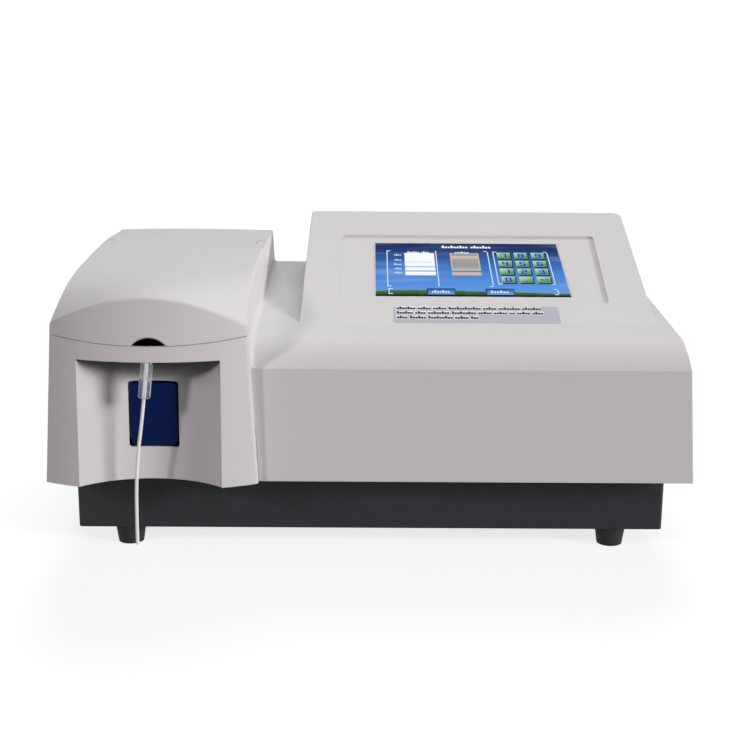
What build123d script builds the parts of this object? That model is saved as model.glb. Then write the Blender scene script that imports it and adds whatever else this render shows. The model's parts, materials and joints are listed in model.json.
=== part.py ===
from build123d import *
from math import atan, cos, radians, sin, tan
import os

# Bench spectrophotometer with a flow cell, a hanging sipper tube and a tilted touch display.
# Millimetres, +Z up, +Y to the rear. The origin is the centre of the footprint on the table.

os.makedirs("parts", exist_ok=True)

# ---------------------------------------------------------------- driving dimensions
half_width = 225.0          # half the width of the housing at its bottom rim
front_y = -138.0            # foot of the flat front face
rear_y = 159.5
rim_z = 58.0                # bottom rim of the housing
draft = 3.4                 # degrees, on the outer side and front faces
wall = 2.8                  # housing wall
seam = 0.3                  # gap between separate mouldings
seam_lift = 0.4             # gap under the lid's lower edge
form_height = 160.0         # taller than anything above the rim

# side profile of the body
face_top_z = 137.7
face_top = (front_y + (face_top_z - rim_z) * tan(radians(draft)), face_top_z)
shoulder_mid = (-117.3, 147.6)
deck_front = (-99.0, 152.9)
deck_rear_z = 157.6

# display console
console_front_y = -62.0
console_front_z = deck_front[1] + (deck_rear_z - deck_front[1]) * (console_front_y - deck_front[0]) / (
    rear_y - deck_front[0])
console_top_z = 202.4
console_left = (-53.6, -51.5)     # at its lower edge, at the rear
console_right = (208.3, 216.2)
console_skin = 4.6
console_slope = atan((console_top_z - console_front_z) / (rear_y - console_front_y))
console_plane = Plane(
    origin=(0, rear_y, console_top_z),
    x_dir=(1, 0, 0),
    z_dir=(0, -sin(console_slope), cos(console_slope)),
)

# sample side: the bowed column at the left with the niche, the key and the lid
sample_left = -half_width
sample_right = -78.4
sample_mid = (sample_left + sample_right) / 2
bow_left_y = -142.0
bow_mid_y = -159.5
bow_right_y = -143.3
panel_rear_y = -136.0
parting_front = (-160.0, 163.0)   # y and side height of the seam under the lid
parting_rear = (160.0, 181.2)
parting_sag = 5.8                 # how far the seam dips in the middle
crown_stations = (                # y, side height, middle height of the lid's top
    (-165.0, 152.0, 190.7),
    (-136.0, 161.2, 190.7),
    (-98.0, 176.8, 190.6),
    (-40.0, 187.4, 190.2),
    (20.0, 188.8, 189.8),
    (90.0, 188.4, 189.2),
    (rear_y + 1, 184.6, 185.8),
)
lid_skin = 2.4
lid_rear_y = 61.0                 # where the lid's top ends and the fixed hood starts
arm_width = 7.6
hinge_y, hinge_z = 75.0, 180.3
arm_radius = 11.0
arm_clearance = 0.9
hood_shoulder_y = 82.6
pocket_rear_y = hinge_y + arm_radius + arm_clearance
arm_pocket_z = hinge_z - arm_radius - arm_clearance
corner_radius = 3.0               # front corner beside the screen side
cove_radius = 2.5
notch_edge = 0.9

# niche and aspirate key
niche_top_z = 147.0
niche_left = (-200.9, -152.3)
niche_mid = (-151.8, -133.1)
niche_right = (-102.8, -151.6)
niche_skin = 2.5
key_x, key_z = -150.8, 104.4
key_width, key_height = 32.0, 43.8
key_hole_width, key_hole_height = 34.8, 46.8
key_face_y = -132.5         # at the middle of the key
key_back_y = -119.5

# base tray
tray_half_width = 210.0
tray_front_y, tray_rear_y = -114.0, 142.0
tray_bottom_z, tray_top_z = 14.5, 64.0
tray_wall = 2.0
tray_floor_z = tray_bottom_z + tray_wall
flange_reach = 8.0
foot_x = 174.5
foot_front_y, foot_rear_y = -101.5, 124.0

# rear panel, recessed under the deck
panel_y0, panel_y1 = 145.0, 146.5
panel_top_z = 153.5
fan_x, fan_z = 40.0, 106.0
inlet_x, inlet_z = 160.0, 95.0
switch_x, switch_z = 118.0, 95.0
serial_x, usb_x, port_z = -30.0, -75.0, 92.0
waste_x, waste_z = -150.0, 100.0

# optics, all on one line of light along X
beam_y, beam_z = -70.0, 104.0
wheel_x0, wheel_x1 = -74.0, -69.0
wheel_z = 72.0
wheel_radius, filter_circle = 40.0, 32.0
cell_x = -152.0
bench_top_z = 28.0

# pump
pump_x, pump_y = -152.0, 10.0
bay_floor_z = 118.0
roller_circle, roller_radius = 15.0, 5.0
pump_tube_circle = 22.7
pump_tube_radius = 2.2

# sipper: the tube hangs from inside the clear sleeve, in line with it at first
sipper_route = [
    (-152.98, -149.5, 133.6),
    (-155.90, -149.5, 107.9),
    (-160.20, -149.5, 80.0),
    (-162.40, -149.5, 47.0),
    (-162.30, -149.5, 15.4),
]
nipple_reach = 12.5         # how far the steel nipple stands in the sleeve
sipper_dir = (Vector(sipper_route[1]) - Vector(sipper_route[0])).normalized()
sipper_top = Vector(sipper_route[0]) - sipper_dir * (nipple_reach + 0.5)
sleeve_length = 25.6
nipple_radius = 1.5
sipper_tube_radius = 1.2

fit = 0.05                  # radial running clearance


def save(piece, name):
    """Label one finished piece and write it."""
    piece.label = name
    export_step(piece, f"parts/{name}.step")


def block(x0, x1, y0, y1, z0, z1):
    """A plain box between two corners, outside any builder."""
    return Pos((x0 + x1) / 2, (y0 + y1) / 2, (z0 + z1) / 2) * Box(
        x1 - x0, y1 - y0, z1 - z0, mode=Mode.PRIVATE
    )


# ---------------------------------------------------------------- shared outer forms
def body_form(inset):
    """Drafted block of the right-hand body, cut to its side profile."""
    with BuildPart() as form:
        with BuildSketch(Plane.XY.offset(rim_z)):
            with Locations((0, (front_y + inset + rear_y + 60) / 2)):
                Rectangle(2 * (half_width - inset), rear_y + 60 - front_y - inset)
        extrude(amount=form_height, taper=draft)
        with BuildSketch(Plane.YZ.offset(-half_width - 5)):
            with BuildLine():
                Polyline(deck_front, (rear_y, deck_rear_z), (rear_y, rim_z - 20),
                         (front_y - 20, rim_z - 20),
                         (front_y - 20, face_top[1]), face_top)
                ThreePointArc(face_top, shoulder_mid, deck_front)
            make_face()
            if inset:
                offset(amount=-inset, kind=Kind.INTERSECTION, mode=Mode.REPLACE)
        extrude(amount=2 * half_width + 10, mode=Mode.INTERSECT)
        if not inset:
            right_side = form.faces().sort_by(Axis.X)[-1]
            fillet(right_side.edges().filter_by(lambda e: e.center().Z > rim_z + 5
                                                and e.center().Y < rear_y - 5), 1.0)
    return form.part


def console_form(inset, skin):
    """Wedge that carries the display, standing on the deck."""
    with BuildPart() as form:
        with BuildSketch(Plane.XY.offset(rim_z + 80)):
            with BuildLine():
                Polyline((console_left[0], console_front_y), (console_left[1], rear_y),
                         (console_right[1], rear_y), (console_right[0], console_front_y), close=True)
            make_face()
            fillet(vertices().group_by(Axis.Y)[-1].sort_by(Axis.X)[0], 4)
            fillet(vertices().group_by(Axis.Y)[-1].sort_by(Axis.X)[-1], 8)
            if inset:
                offset(amount=-inset, kind=Kind.INTERSECTION, mode=Mode.REPLACE)
        extrude(amount=80)
        with BuildSketch(Plane.YZ.offset(-half_width)):
            with BuildLine():
                Polyline((rear_y, console_top_z - skin), (rear_y, rim_z + 80),
                         (console_front_y, rim_z + 80), (console_front_y, console_front_z - skin), close=True)
            make_face()
        extrude(amount=2 * half_width, mode=Mode.INTERSECT)
        if not inset:
            slope = form.faces().filter_by(lambda f: f.normal_at().Z > 0.5).sort_by(Axis.Z)[-1]
            fillet(slope.edges().filter_by(lambda e: e.center().Z > console_front_z + 5), 0.9)
    return form.part


def sample_form(inset, y0, y1):
    """Drafted column of the sample side, bowed at the front, kept between two Y planes."""
    with BuildPart() as form:
        with BuildSketch(Plane.XY.offset(rim_z)):
            with BuildLine():
                bow = ThreePointArc((sample_left, bow_left_y), (sample_mid, bow_mid_y),
                                    (sample_right, bow_right_y))
                Polyline(bow @ 1, (sample_right, 230), (sample_left, 230), bow @ 0)
            make_face()
            if inset:
                offset(amount=-inset, kind=Kind.INTERSECTION, mode=Mode.REPLACE)
        extrude(amount=form_height, taper=draft)
        if not inset:
            fillet(form.edges().filter_by(lambda e: e.center().Y < 0 and e.center().X > sample_mid
                                          and abs(e.tangent_at(0.5).Z) > 0.9), corner_radius)
        add(block(-half_width - 5, 0, y0, y1, 0, 300), mode=Mode.INTERSECT)
    return form.part


def crown_form(drop):
    """Block under the crowned top of the lid and hood, arched at the front and flat behind."""
    with BuildPart() as form:
        for y, side, middle in crown_stations:
            with BuildSketch(Plane.XZ.offset(-y)):
                with BuildLine():
                    arch = ThreePointArc((-230, side - drop), (sample_mid, middle - drop),
                                         (-73.4, side - drop))
                    Polyline(arch @ 1, (-73.4, 120), (-230, 120), arch @ 0)
                make_face()
        loft()
    return form.part


def below_parting(lift):
    """Everything under the seam between the lid and the parts below it."""
    with BuildPart() as form:
        for y, side in (parting_front, parting_rear):
            with BuildSketch(Plane.XZ.offset(-y)):
                with BuildLine():
                    sag = ThreePointArc((-235, side + lift),
                                        (sample_mid, side + lift - parting_sag), (-68, side + lift))
                    Polyline(sag @ 1, (-68, 20), (-235, 20), sag @ 0)
                make_face()
        loft(ruled=True)
    return form.part


# ---------------------------------------------------------------- upper housing
hood_front_ramp_run = 3.6
arm_inner_left = sample_left + 7.3 + arm_width
arm_inner_right = sample_right - 7.3 - arm_width

with BuildPart() as hood_block:
    add(crown_form(0))
    add(sample_form(0, 50, rear_y), mode=Mode.INTERSECT)
    # the front of the hood is a ramp that the lid's rear edge lies on
    with BuildSketch(Plane.YZ.offset(-half_width)):
        with BuildLine():
            Polyline((lid_rear_y + seam + 1.0, 190.5), (lid_rear_y + seam - hood_front_ramp_run, 186.2),
                     (lid_rear_y + seam - hood_front_ramp_run, 100), (40, 100), (40, 190.5), close=True)
        make_face()
    extrude(amount=half_width, mode=Mode.SUBTRACT)
    # pockets for the lid's two hinge arms
    for x0, x1 in ((-235, arm_inner_left + seam), (arm_inner_right - seam, -60)):
        add(block(x0, x1, 40, hood_shoulder_y, arm_pocket_z, 200), mode=Mode.SUBTRACT)

with BuildPart() as hood_void:
    add(crown_form(wall))
    add(sample_form(wall, 50, rear_y - wall), mode=Mode.INTERSECT)
    add(block(-235, -60, 40, lid_rear_y - hood_front_ramp_run + seam + wall, 0, 200),
        mode=Mode.SUBTRACT)
    for x0, x1 in ((-235, arm_inner_left + seam + wall), (arm_inner_right - seam - wall, -60)):
        add(block(x0, x1, 40, pocket_rear_y + wall, arm_pocket_z - wall, 200),
            mode=Mode.SUBTRACT)

# screws that hold the housing down on the tray's flange: at the sides, then along the front
side_screw_ys = (-90.0, 20.0, 120.0)
front_screw_xs = (20.0, 160.0)
screw_places = [(side * 214.0, y) for side in (-1, 1) for y in side_screw_ys]
screw_places += [(x, -124.0) for x in front_screw_xs]
boss_top_z = tray_top_z + 20
screw_radius = 1.5

# display window, measured across and down the console's sloping face
pocket_top, pocket_bottom, pocket_depth = 55.0, 188.4, 1.6
screen_x0, screen_x1 = 3.0, 152.4
screen_top, screen_bottom = 69.2, 175.2
glass_margin = 1.0
glass_gap = 0.15
screen_x = (screen_x0 + screen_x1) / 2
screen_y = -(screen_top + screen_bottom) / 2
glass_width = screen_x1 - screen_x0 + 2 * glass_margin
glass_height = screen_bottom - screen_top + 2 * glass_margin
glass_thickness = 1.6
lcd_thickness = 5.0
bracket_depth = console_skin + lcd_thickness
display_posts = [(screen_x + sx * (glass_width / 2 + 9), screen_y + sy * (glass_height / 2 + 4))
                 for sx in (-1, 1) for sy in (-1, 1)]

with BuildPart() as upper_housing:
    add(body_form(0))
    add(console_form(0, 0))
    with BuildPart(mode=Mode.PRIVATE) as sample_walls:
        add(sample_form(0, panel_rear_y + seam, rear_y))
        add(below_parting(0), mode=Mode.INTERSECT)
    add(sample_walls.part)
    # soft cove where the sample side's right wall meets the deck
    cove = upper_housing.edges().filter_by(
        lambda e: sample_right - 9 < e.center().X < sample_right
        and (150 < e.center().Z < 158 and e.length > 100 or 142 < e.center().Z < 150 and e.length > 20))
    fillet(cove, cove_radius)
    add(hood_block.part)
    # round clearance under the hinge arms' ends
    for x0, x1 in ((-235, arm_inner_left + seam), (arm_inner_right - seam, -75)):
        with BuildSketch(Plane.YZ.offset(x0)):
            with Locations((hinge_y, hinge_z)):
                Circle(arm_radius + arm_clearance)
        extrude(amount=x1 - x0, mode=Mode.SUBTRACT)
    # hollow inside
    add(body_form(wall), mode=Mode.SUBTRACT)
    add(console_form(wall, console_skin), mode=Mode.SUBTRACT)
    add(sample_form(wall, -170, lid_rear_y - hood_front_ramp_run + seam), mode=Mode.SUBTRACT)
    add(hood_void.part, mode=Mode.SUBTRACT)
    # room for the separate front panel of the sample side
    add(sample_form(-seam, -170, panel_rear_y + seam), mode=Mode.SUBTRACT)
    # open rear with a ceiling over the recessed rear panel
    add(block(-198, 198, panel_y1, rear_y + 1, rim_z - 1, 150), mode=Mode.SUBTRACT)
    add(block(-216, 216, panel_y0 - 1.5, rear_y - 1, panel_top_z + 0.4, panel_top_z + 3.2))
    # screw bosses
    for x, y in screw_places:
        if abs(x) > half_width - 20:
            reach = 222.0 if x > 0 else -222.0
            add(block(min(x - 5, reach), max(x + 5, reach), y - 6, y + 6, tray_top_z + 0.2, boss_top_z))
        else:
            add(block(x - 6, x + 6, -136, y + 5, tray_top_z + 0.2, boss_top_z))
    with Locations(*[(x, y, tray_top_z + 0.2) for x, y in screw_places]):
        Cylinder(screw_radius, 15, align=(Align.CENTER, Align.CENTER, Align.MIN), mode=Mode.SUBTRACT)
    # shallow pocket and window for the display
    with BuildSketch(console_plane):
        with BuildLine():
            Polyline((-24.4, -pocket_top), (184.7, -pocket_top), (178.9, -pocket_bottom),
                     (-25.1, -pocket_bottom), close=True)
        make_face()
        fillet(vertices(), 2.5)
    extrude(amount=-pocket_depth, mode=Mode.SUBTRACT)
    with BuildSketch(console_plane):
        with Locations((screen_x, screen_y)):
            Rectangle(glass_width + 2 * glass_gap, glass_height + 2 * glass_gap)
    extrude(amount=-console_skin - 2, mode=Mode.SUBTRACT)
    # posts for the display bracket
    with BuildSketch(console_plane.offset(-bracket_depth)):
        with Locations(*display_posts):
            Circle(4)
    extrude(amount=lcd_thickness + 1)
    with BuildSketch(console_plane.offset(-bracket_depth)):
        with Locations(*display_posts):
            Circle(1.25)
    extrude(amount=lcd_thickness - 0.5, mode=Mode.SUBTRACT)
    # holes for the two hinge pins
    with Locations(Location((arm_inner_left + seam, hinge_y, hinge_z), (0, 90, 0)),
                   Location((arm_inner_right - seam, hinge_y, hinge_z), (0, 90, 0))):
        Cylinder(2.0, 2 * wall + 2, mode=Mode.SUBTRACT)
    # vent slots in the rear wall of the console
    with Locations(*[(x, rear_y, 178) for x in range(30, 171, 14)]):
        Box(4, 2 * wall + 2, 26, mode=Mode.SUBTRACT)
save(upper_housing.part, "upper_housing")

# ---------------------------------------------------------------- front panel of the sample side
def niche_form(grow):
    """Column of the niche, leaning back with the front face, open to the front, grown all round."""
    with BuildPart() as form:
        with BuildSketch(Plane.XY.offset(rim_z)):
            with BuildLine():
                back = ThreePointArc(niche_left, niche_mid, niche_right)
                Polyline(back @ 1, (niche_right[0], -175), (niche_left[0], -175), back @ 0)
            make_face()
            if grow:
                offset(amount=grow, kind=Kind.INTERSECTION, mode=Mode.REPLACE)
        extrude(amount=(niche_top_z + grow - rim_z) / cos(radians(draft)),
                dir=(0, sin(radians(draft)), cos(radians(draft))))
    return form.part


with BuildPart() as niche_shell:
    add(niche_form(niche_skin))
    add(sample_form(0, -170, -100), mode=Mode.INTERSECT)

with BuildPart() as panel_void:
    add(sample_form(niche_skin, -170, -100))
    add(niche_form(niche_skin), mode=Mode.SUBTRACT)

with BuildPart() as sample_front_panel:
    add(sample_form(0, -170, panel_rear_y))
    add(niche_shell.part)
    add(panel_void.part, mode=Mode.SUBTRACT)
    add(niche_form(0), mode=Mode.SUBTRACT)
    # hole for the key
    with BuildSketch(Plane.XZ.offset(150)):
        with Locations((key_x, key_z)):
            RectangleRounded(key_hole_width, key_hole_height, 2.2)
    extrude(amount=-30, mode=Mode.SUBTRACT)
    # hole for the sipper nipple
    with BuildSketch(Plane(sipper_top, z_dir=sipper_dir)):
        Circle(nipple_radius)
    extrude(amount=-8, mode=Mode.SUBTRACT)
    add(below_parting(0), mode=Mode.INTERSECT)
save(sample_front_panel.part, "sample_front_panel")

# ---------------------------------------------------------------- lid over the flow cell
notch_x, notch_chord, notch_height = -150.0, 24.5, 6.2
notch_radius = (notch_chord ** 2 / 4 + notch_height ** 2) / (2 * notch_height)
notch_base_z = parting_front[1] - parting_sag

with BuildPart() as lid_ramp:
    # everything behind the slanting rear edge of the lid's top
    with BuildSketch(Plane.YZ.offset(-half_width - 10)):
        with BuildLine():
            Polyline((lid_rear_y + 1.0, 190.5), (lid_rear_y - hood_front_ramp_run, 186.2),
                     (lid_rear_y - hood_front_ramp_run, 100), (120, 100), (120, 190.5), close=True)
        make_face()
    extrude(amount=half_width)

with BuildPart() as sample_lid:
    add(crown_form(0))
    add(sample_form(0, -170, 100), mode=Mode.INTERSECT)
    front_arch = sample_lid.edges().filter_by(
        lambda e: e.center().Y < -140 and e.center().Z > 175 and e.length > 60)
    fillet(front_arch, 2.0)
    with BuildPart(mode=Mode.PRIVATE) as lid_hollow:
        add(crown_form(lid_skin))
        add(sample_form(lid_skin, -170, 100), mode=Mode.INTERSECT)
    add(lid_hollow.part, mode=Mode.SUBTRACT)
    add(lid_ramp.part, mode=Mode.SUBTRACT)
    add(below_parting(seam_lift), mode=Mode.SUBTRACT)
    # hinge arms beside the hood
    with BuildPart(mode=Mode.PRIVATE) as arms:
        add(block(-half_width - 10, 0, 48, hinge_y, hinge_z - arm_radius, hinge_z + arm_radius))
        add(below_parting(seam_lift), mode=Mode.SUBTRACT)
        with BuildSketch(Plane.YZ.offset(-half_width - 10)):
            with Locations((hinge_y, hinge_z)):
                Circle(arm_radius)
        extrude(amount=half_width)
        add(sample_form(0, 40, 100), mode=Mode.INTERSECT)
        add(crown_form(0), mode=Mode.INTERSECT)
        add(block(arm_inner_left, arm_inner_right, 0, 120, 100, 220), mode=Mode.SUBTRACT)
    add(arms.part)
    # finger notch at the front
    with BuildSketch(Plane.XZ.offset(170)):
        with Locations((notch_x, notch_base_z + notch_height - notch_radius)):
            Circle(notch_radius)
    extrude(amount=-30, mode=Mode.SUBTRACT)
    notch_rim = sample_lid.edges().filter_by(
        lambda e: abs(e.center().X - notch_x) < 3 and notch_base_z + 2 < e.center().Z < notch_base_z + 8)
    chamfer(notch_rim.sort_by(Axis.Y)[0], notch_edge)
    # blind bores for the hinge pins
    for x0, x1 in ((arm_inner_left - 5.4, arm_inner_left), (arm_inner_right, arm_inner_right + 5.4)):
        with BuildSketch(Plane.YZ.offset(x0)):
            with Locations((hinge_y, hinge_z)):
                Circle(2.0 + fit)
        extrude(amount=x1 - x0, mode=Mode.SUBTRACT)
save(sample_lid.part, "sample_lid")

with BuildPart() as lid_hinge_pins:
    for x0 in (arm_inner_left - 4.6, arm_inner_right - seam - wall - 4):
        with BuildSketch(Plane.YZ.offset(x0)):
            with Locations((hinge_y, hinge_z)):
                Circle(2.0)
        extrude(amount=4.6 + seam + wall + 4)
save(lid_hinge_pins.part, "lid_hinge_pins")

# ---------------------------------------------------------------- aspirate key
bracket_y0, bracket_y1 = -112.0, -109.0
stem_radius = 4.0
switch_body_y0 = bracket_y1 + 1.4

with BuildPart() as aspirate_key:
    with BuildSketch(Plane.XZ.offset(-key_back_y)):
        with Locations((key_x, key_z)):
            RectangleRounded(key_width, key_height, 2.4)
    extrude(amount=key_back_y - key_face_y + 5)
    # the face leans back with the niche's wall
    with BuildSketch(Plane.YZ.offset(key_x - key_width)):
        with BuildLine():
            lean = key_height * tan(radians(draft))
            Polyline((key_face_y - lean, key_z - key_height), (key_face_y + lean, key_z + key_height),
                     (key_back_y, key_z + key_height), (key_back_y, key_z - key_height), close=True)
        make_face()
    extrude(amount=2 * key_width, mode=Mode.INTERSECT)
    fillet(aspirate_key.faces().sort_by(Axis.Y)[0].edges(), 1.0)
    # hollow back with the guide stem standing in it
    with BuildSketch(Plane.XZ.offset(-key_back_y)):
        with Locations((key_x, key_z)):
            RectangleRounded(key_width - 5, key_height - 5, 1.5)
    extrude(amount=key_back_y - key_face_y - 4, mode=Mode.SUBTRACT)
    with BuildSketch(Plane.XZ.offset(-key_face_y - 2)):
        with Locations((key_x, key_z)):
            Circle(stem_radius)
    extrude(amount=-(bracket_y1 + 0.4 - key_face_y - 2))
save(aspirate_key.part, "aspirate_key")

with BuildPart() as key_bracket:
    with BuildSketch(Plane.XZ.offset(-bracket_y0)):
        with Locations((key_x, key_z)):
            Rectangle(52, 46)
            Circle(stem_radius + fit, mode=Mode.SUBTRACT)
    extrude(amount=bracket_y0 - bracket_y1)
    # legs that carry the plate on the niche's back wall
    with BuildSketch(Plane.XZ.offset(-bracket_y0)):
        with Locations((key_x, key_z)):
            with GridLocations(46, 40, 2, 2):
                Circle(2.8)
    extrude(amount=bracket_y0 - niche_left[1])
    add(niche_form(niche_skin + 0.02), mode=Mode.SUBTRACT)
save(key_bracket.part, "key_bracket")

with BuildPart() as key_switch:
    add(block(key_x - 10, key_x + 10, switch_body_y0 + 5.0, switch_body_y0 + 14, key_z - 5, key_z + 5))
    with BuildSketch(Plane.XZ.offset(-switch_body_y0 - 5.0)):
        with Locations((key_x, key_z)):
            Circle(1.5 + fit)
    extrude(amount=-5.5, mode=Mode.SUBTRACT)
    # solder tags
    with Locations(*[(key_x + dx, switch_body_y0 + 16, key_z) for dx in (-7, 0, 7)]):
        Box(1, 4, 3)
    # ears that reach forward to the bracket
    for dx in (-9, 9):
        add(block(key_x + dx - 1, key_x + dx + 1, bracket_y1, switch_body_y0 + 5.0, key_z - 4, key_z + 4))
save(key_switch.part, "key_switch")

with BuildPart() as switch_plunger:
    with BuildSketch(Plane.XZ.offset(-(bracket_y1 + 0.4 + fit))):
        with Locations((key_x, key_z)):
            Circle(1.5)
    extrude(amount=-(switch_body_y0 + 7.0 - bracket_y1 - 0.4 - fit))
save(switch_plunger.part, "switch_plunger")

# ---------------------------------------------------------------- sipper
sipper_axis = Plane(origin=sipper_top, x_dir=(0, 1, 0), z_dir=sipper_dir)
elbow_top = sipper_top - sipper_dir * 6.5
elbow_end = Vector(elbow_top.X, -141.0, elbow_top.Z)

with BuildPart() as sipper_nipple:
    with BuildLine():
        FilletPolyline(sipper_top + sipper_dir * nipple_reach, elbow_top, elbow_end, radius=2.2)
    with BuildSketch(Plane(origin=sipper_top + sipper_dir * nipple_reach, z_dir=-sipper_dir)):
        Circle(nipple_radius)
    sweep()
save(sipper_nipple.part, "sipper_nipple")

with BuildPart() as sipper_sleeve:
    with BuildSketch(sipper_axis):
        Circle(4.25)
    extrude(amount=sleeve_length)
    chamfer(sipper_sleeve.edges(), 0.8)
    with BuildSketch(sipper_axis):
        Circle(nipple_radius)
    extrude(amount=nipple_reach, mode=Mode.SUBTRACT)
    with BuildSketch(sipper_axis.offset(nipple_reach)):
        Circle(sipper_tube_radius)
    extrude(amount=sleeve_length - nipple_reach, mode=Mode.SUBTRACT)
save(sipper_sleeve.part, "sipper_sleeve")


def tube_along(points, radius):
    """Round tube along straight runs joined by tangent arcs that use 0.45 of the shorter run."""
    points = [Vector(p) for p in points]
    with BuildPart() as tube:
        with BuildLine():
            start = points[0]
            for i in range(1, len(points) - 1):
                before, after = points[i] - points[i - 1], points[i + 1] - points[i]
                reach = 0.45 * min(before.length, after.length)
                a = points[i] - before.normalized() * reach
                b = points[i] + after.normalized() * reach
                Line(start, a)
                TangentArc(a, b, tangent=before)
                start = b
            Line(start, points[-1])
        with BuildSketch(Plane(origin=points[0], z_dir=points[1] - points[0])):
            Circle(radius)
        sweep()
    return tube.part


save(tube_along(sipper_route, sipper_tube_radius), "sipper_tube")

# ---------------------------------------------------------------- base tray and feet
foot_places = [(sx * foot_x, y) for sx in (-1, 1) for y in (foot_front_y, foot_rear_y)]
flange_x = tray_half_width + flange_reach
flange_y0, flange_y1 = -130.0, 156.0
foot_screw_radius = 2.0
board_x0, board_x1, board_y0, board_y1 = 24.0, 200.0, -98.0, 18.0
board_z = tray_floor_z + 8
board_holes = [(x, y) for x in (board_x0 + 6, board_x1 - 6) for y in (board_y0 + 14, board_y1 - 6)]

with BuildPart() as base_tray:
    add(block(-tray_half_width, tray_half_width, tray_front_y, tray_rear_y, tray_bottom_z, tray_top_z))
    fillet(base_tray.edges().filter_by(Axis.Z), 3)
    add(block(-flange_x, flange_x, -126.5, flange_y1, tray_top_z - 2, tray_top_z))
    # the flange runs forward to the front bosses only beside the niche
    add(block(min(front_screw_xs) - 8, max(front_screw_xs) + 8, flange_y0, -120,
              tray_top_z - 2, tray_top_z))
    add(block(-tray_half_width + tray_wall, tray_half_width - tray_wall, tray_front_y + tray_wall,
              tray_rear_y - tray_wall, tray_floor_z, tray_top_z + 1), mode=Mode.SUBTRACT)
    # vent slots in both sides
    for x in (-tray_half_width, tray_half_width):
        with Locations(*[(x, y, 42) for y in range(-40, 101, 14)]):
            Box(3 * tray_wall, 4, 24, mode=Mode.SUBTRACT)
    # vent slots in the floor
    with Locations(*[(x, 60, tray_floor_z) for x in range(-40, 81, 12)]):
        Box(4, 60, 3 * tray_wall, mode=Mode.SUBTRACT)
    with Locations(*[(x, y, tray_top_z) for x, y in screw_places]):
        Cylinder(screw_radius + 0.3, 8, mode=Mode.SUBTRACT)
    with Locations(*[(x, y, tray_floor_z) for x, y in foot_places]):
        Cylinder(foot_screw_radius, 8, mode=Mode.SUBTRACT)
    # pressed-in studs that carry the main board
    with Locations(*[(x, y, tray_floor_z) for x, y in board_holes]):
        Cylinder(3, board_z - tray_floor_z, align=(Align.CENTER, Align.CENTER, Align.MIN))
        Cylinder(1.6, board_z - tray_floor_z + 4, align=(Align.CENTER, Align.CENTER, Align.MIN))
save(base_tray.part, "base_tray")

with BuildPart() as rubber_feet:
    for x, y in foot_places:
        with BuildSketch(Plane.XY.offset(tray_bottom_z)):
            with Locations((x, y)):
                Circle(11.3)
        extrude(amount=-tray_bottom_z, taper=8.5)
        with BuildSketch(Plane.XY):
            with Locations((x, y)):
                Circle(4.6)
        extrude(amount=7, mode=Mode.SUBTRACT)
        with BuildSketch(Plane.XY):
            with Locations((x, y)):
                Circle(foot_screw_radius)
        extrude(amount=tray_bottom_z, mode=Mode.SUBTRACT)
save(rubber_feet.part, "rubber_feet")


def screws(places, shaft_radius, head_radius, head_height, length, recess=0.5):
    """Cross-recess screws along local +Z of each location, heads below its origin."""
    with BuildPart() as group:
        for place in [Plane(location) for location in places]:
            with BuildSketch(place.offset(-head_height)):
                Circle(head_radius)
            extrude(amount=head_height)
            with BuildSketch(place):
                Circle(shaft_radius)
            extrude(amount=length)
            with BuildSketch(place.offset(-head_height)):
                Rectangle(head_radius * 1.2, head_radius * 0.28)
                Rectangle(head_radius * 0.28, head_radius * 1.2)
            extrude(amount=recess * head_height, mode=Mode.SUBTRACT)
    return group.part


save(screws([Plane.XY.offset(7) * Location((x, y, 0)) for x, y in foot_places],
            foot_screw_radius, 4.2, 2.6, tray_floor_z - 7), "foot_screws")
save(screws([Plane.XY.offset(tray_top_z - 2) * Location((x, y, 0)) for x, y in screw_places],
            screw_radius, 3.0, 2.0, 14), "housing_screws")

# ---------------------------------------------------------------- display
with BuildPart() as touch_glass:
    with BuildSketch(console_plane.offset(-pocket_depth)):
        with Locations((screen_x, screen_y)):
            RectangleRounded(glass_width, glass_height, 1.5)
    extrude(amount=-glass_thickness)
save(touch_glass.part, "touch_glass")

with BuildPart() as lcd_module:
    with BuildSketch(console_plane.offset(-pocket_depth - glass_thickness)):
        with Locations((screen_x, screen_y)):
            Rectangle(glass_width - 1, glass_height - 1)
    extrude(amount=-(console_skin - pocket_depth - glass_thickness) - lcd_thickness)
    with BuildSketch(console_plane.offset(-console_skin - 0.3)):
        with Locations((screen_x, screen_y)):
            Rectangle(glass_width + 6, glass_height + 2)
    extrude(amount=-lcd_thickness + 0.3)
save(lcd_module.part, "lcd_module")

with BuildPart() as display_bracket:
    with BuildSketch(console_plane.offset(-bracket_depth)):
        with Locations((screen_x, screen_y)):
            RectangleRounded(glass_width + 28, glass_height + 20, 4)
            Rectangle(glass_width - 30, glass_height - 30, mode=Mode.SUBTRACT)
        with Locations(*display_posts):
            Circle(1.6, mode=Mode.SUBTRACT)
    extrude(amount=-1.5)
save(display_bracket.part, "display_bracket")

post_planes = [console_plane.offset(-bracket_depth - 1.5) * Location((x, y, 0))
               for x, y in display_posts]
save(screws(post_planes, 1.25, 2.6, 1.8, 5.5), "display_screws")

label_x0, label_x1, label_top, label_bottom = 16.4, 138.8, 196.3, 225.2
with BuildPart() as caution_label:
    with BuildSketch(console_plane):
        with Locations(((label_x0 + label_x1) / 2, -(label_top + label_bottom) / 2)):
            RectangleRounded(label_x1 - label_x0, label_bottom - label_top, 2)
    extrude(amount=0.25)
save(caution_label.part, "caution_label")

# ---------------------------------------------------------------- rear panel and what it carries
inlet_w, inlet_h, inlet_flange_w, inlet_flange_h = 27.6, 20.0, 32.0, 25.0
switch_w, switch_h, switch_flange_w, switch_flange_h = 13.4, 21.0, 16.0, 25.0
fan_size, fan_bore, fan_depth = 60.0, 28.0, 15.0
fan_hole_pitch = 50.0
waste_radius = 3.2

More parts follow.
